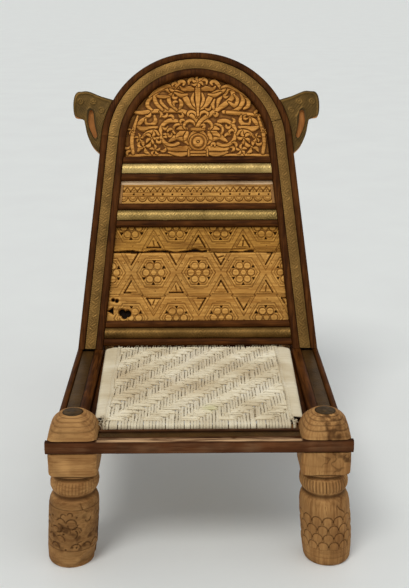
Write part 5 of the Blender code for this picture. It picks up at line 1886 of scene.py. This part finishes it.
def add_warps():
    """The cords that run front to back, from bar to bar."""
    cords = Cords(311)
    rng = np.random.default_rng(312)
    weft_y, groups = np.array(weft_places()).T
    for warp in range(WARPS):
        x = -FIELD_HALF + (warp + 0.5) * WARP_PITCH
        x += 0.0004 * rng.standard_normal()
        start = front_bend(x, rng)
        y = np.arange(SEAT_FRONT + 0.0240, SEAT_REAR - 0.016, 0.0031)
        nearest = np.searchsorted(weft_y, y).clip(0, len(weft_y) - 1)
        over = np.array([0.0 if weft_is_over(g, warp) else 1.0 for g in groups[nearest]])
        over = np.where(y < FIELD_FRONT - 0.003, 1.0, over)
        lift = softened(over)
        z = UNDER + (OVER - UNDER) * lift + 0.0002 * rng.standard_normal()
        sway = 0.0007 * np.sin(y * 34.0 + rng.uniform(0, 6)) + 0.0004 * rng.standard_normal(len(y))
        body = np.stack([x + sway, y, z], axis=1)
        path = np.vstack([start, body, rear_bend(x)])
        radius = np.full(len(path), WARP_RADIUS * rng.uniform(0.9, 1.04))
        radius[:6] = 0.5 * WARP_PITCH
        cords.add(path, radius, (1.0, 0.0, 0.0))
    cords.finish("warp_cords")


def add_front_ends():
    """Short warps over the front bar out to the leg blocks, and stray loops along the rear rod."""
    cords = Cords(321)
    rng = np.random.default_rng(322)
    reach = LEG_X - BLOCK_HALF - 0.003
    x = FIELD_HALF + 0.5 * WARP_PITCH
    while x < reach:
        for side in (-1, 1):
            place = side * x + 0.0004 * rng.standard_normal()
            path = front_bend(place, rng)
            for behind, z in ((0.024, OVER - 0.0008), (0.032, OVER - 0.0022), (0.040, UNDER)):
                path.append((place, SEAT_FRONT + behind, z))
            cords.add(path, WARP_RADIUS * rng.uniform(0.9, 1.05), (1.0, 0.0, 0.0))
        x += WARP_PITCH * 0.86
    for k in range(64):
        x = rng.uniform(-0.175, 0.190)
        base_y = SEAT_REAR - 0.006 + rng.uniform(-0.002, 0.002)
        tall = rng.uniform(0.004, 0.013)
        wide = rng.uniform(0.0010, 0.0022)
        rise = (-0.006, 0.4 * tall, tall, 0.4 * tall, -0.006)
        loop = [
            (x + across * wide, base_y + (0.0006 if across == 0 else 0.0), OVER + up)
            for across, up in zip((-1, -1, 0, 1, 1), rise)
        ]
        cords.add(curve_through(loop, 4), 0.0007, (0.0, 1.0, 0.0), sides=5)
    cords.finish("front_and_rear_cords")


def add_margins():
    """The smooth bands where thin cord is wound round the side bars, with a twisted rope beside each."""
    first = LEG_Y + BLOCK_HALF + 0.003
    inner = FIELD_HALF - 0.001
    for side, label in SIDES:
        cords = Cords(331 + side)
        rng = np.random.default_rng(335 + side)
        for k in range(int((SEAT_REAR - 0.004 - first) / MARGIN_PITCH)):
            y = first + k * MARGIN_PITCH
            corner = smooth_step(y, SEAT_REAR - 0.030, SEAT_REAR - 0.006)
            outer = seat_half(y) - 0.0018 - 0.010 * corner**2
            top = SEAT_TOP - 0.0021 - 0.0035 * corner
            slant = 0.0014 * rng.standard_normal() * 0.4 + 0.002
            turns = (
                (inner - 0.002, 1.0, 0.0050),
                (inner + 0.004, 0.7, 0.0010),
                (inner + 0.010, 0.4, 0.0),
                (outer - 0.008, 0.0, 0.0),
                (outer - 0.0022, 0.0, 0.0012),
                (outer, 0.0, 0.0045),
                (outer - 0.0006, 0.0, 0.0105),
            )
            path = curve_through([(side * x, y + share * slant, top - below) for x, share, below in turns], 3)
            cords.add(path, 0.00165 * rng.uniform(0.93, 1.05), (0.0, 1.0, 0.0), grime_and_shade=0.27)
        y = np.arange(first - 0.012, SEAT_REAR - 0.014, 0.0014)
        for strand in range(3):
            phase = math.tau * strand / 3 + y * math.tau / 0.0125
            x = side * (FIELD_HALF + 0.0005) + 0.0019 * np.cos(phase) + 0.0012 * np.sin(y * 40.0)
            z = OVER + 0.0006 + 0.0016 * np.sin(phase)
            cords.add(grid_of(x, y, z), 0.0018, (0.0, 0.0, 1.0), grime_and_shade=0.24)
        cords.finish("wound_cord_" + label)


def add_frayed_threads():
    """Loose threads behind the front legs' domes, and fluff all over the woven field."""
    cords = Cords(351)
    rng = np.random.default_rng(352)
    for side, count in ((-1, 26), (1, 12)):
        for k in range(count):
            x = side * (0.1745 + rng.uniform(-0.004, 0.003))
            y = rng.uniform(0.056, 0.086)
            lean = rng.uniform(-0.006, 0.006, 2)
            tall = rng.uniform(0.002, 0.008)
            thread = [
                (x, y, OVER - 0.006),
                (x + 0.3 * lean[0], y + 0.3 * lean[1], OVER + 0.3 * tall),
                (x + lean[0], y + lean[1], OVER + tall),
                (x + 1.6 * lean[0], y + 1.4 * lean[1], OVER + 0.8 * tall),
            ]
            cords.add(curve_through(thread, 3), 0.0006, (0.3, 0.9, 0.2), sides=5, grime_and_shade=rng.uniform(0.1, 0.9))
    for k in range(260):
        x = rng.uniform(-FIELD_HALF, FIELD_HALF)
        y = rng.uniform(FIELD_FRONT, FIELD_REAR)
        turn = rng.uniform(0.0, math.tau)
        reach = rng.uniform(0.003, 0.008)
        step = np.array([reach * math.cos(turn), reach * math.sin(turn), 0.0])
        middle = np.array([x, y, OVER + rng.uniform(0.0026, 0.0032)])
        curl = np.array([-step[1], step[0], 0.0]) * rng.uniform(-0.6, 0.6)
        below = np.array([0.0, 0.0, 0.001])
        path = curve_through([middle - step - below, middle + curl, middle + step - below], 4)
        cords.add(path, 0.0005, (0.1, 0.2, 1.0), sides=4)
    cords.finish("frayed_threads")


# ---------------------------------------------------------------- the chair


def main():
    add_studio()
    add_arch_panel()
    add_lattice_panels()
    add_narrow_panel()
    add_hoop()
    add_back_rails()
    add_small_boards()
    add_ears()
    add_side_rails()
    add_front_rail()
    add_front_lath()
    add_seat_bars()
    add_pegs()
    for side, label in SIDES:
        add_front_leg(side, label)
        add_cap(side, label)
    for side, label in SIDES:
        add_rear_leg(side, label)
    add_wefts()
    add_warps()
    add_front_ends()
    add_margins()
    add_frayed_threads()


main()
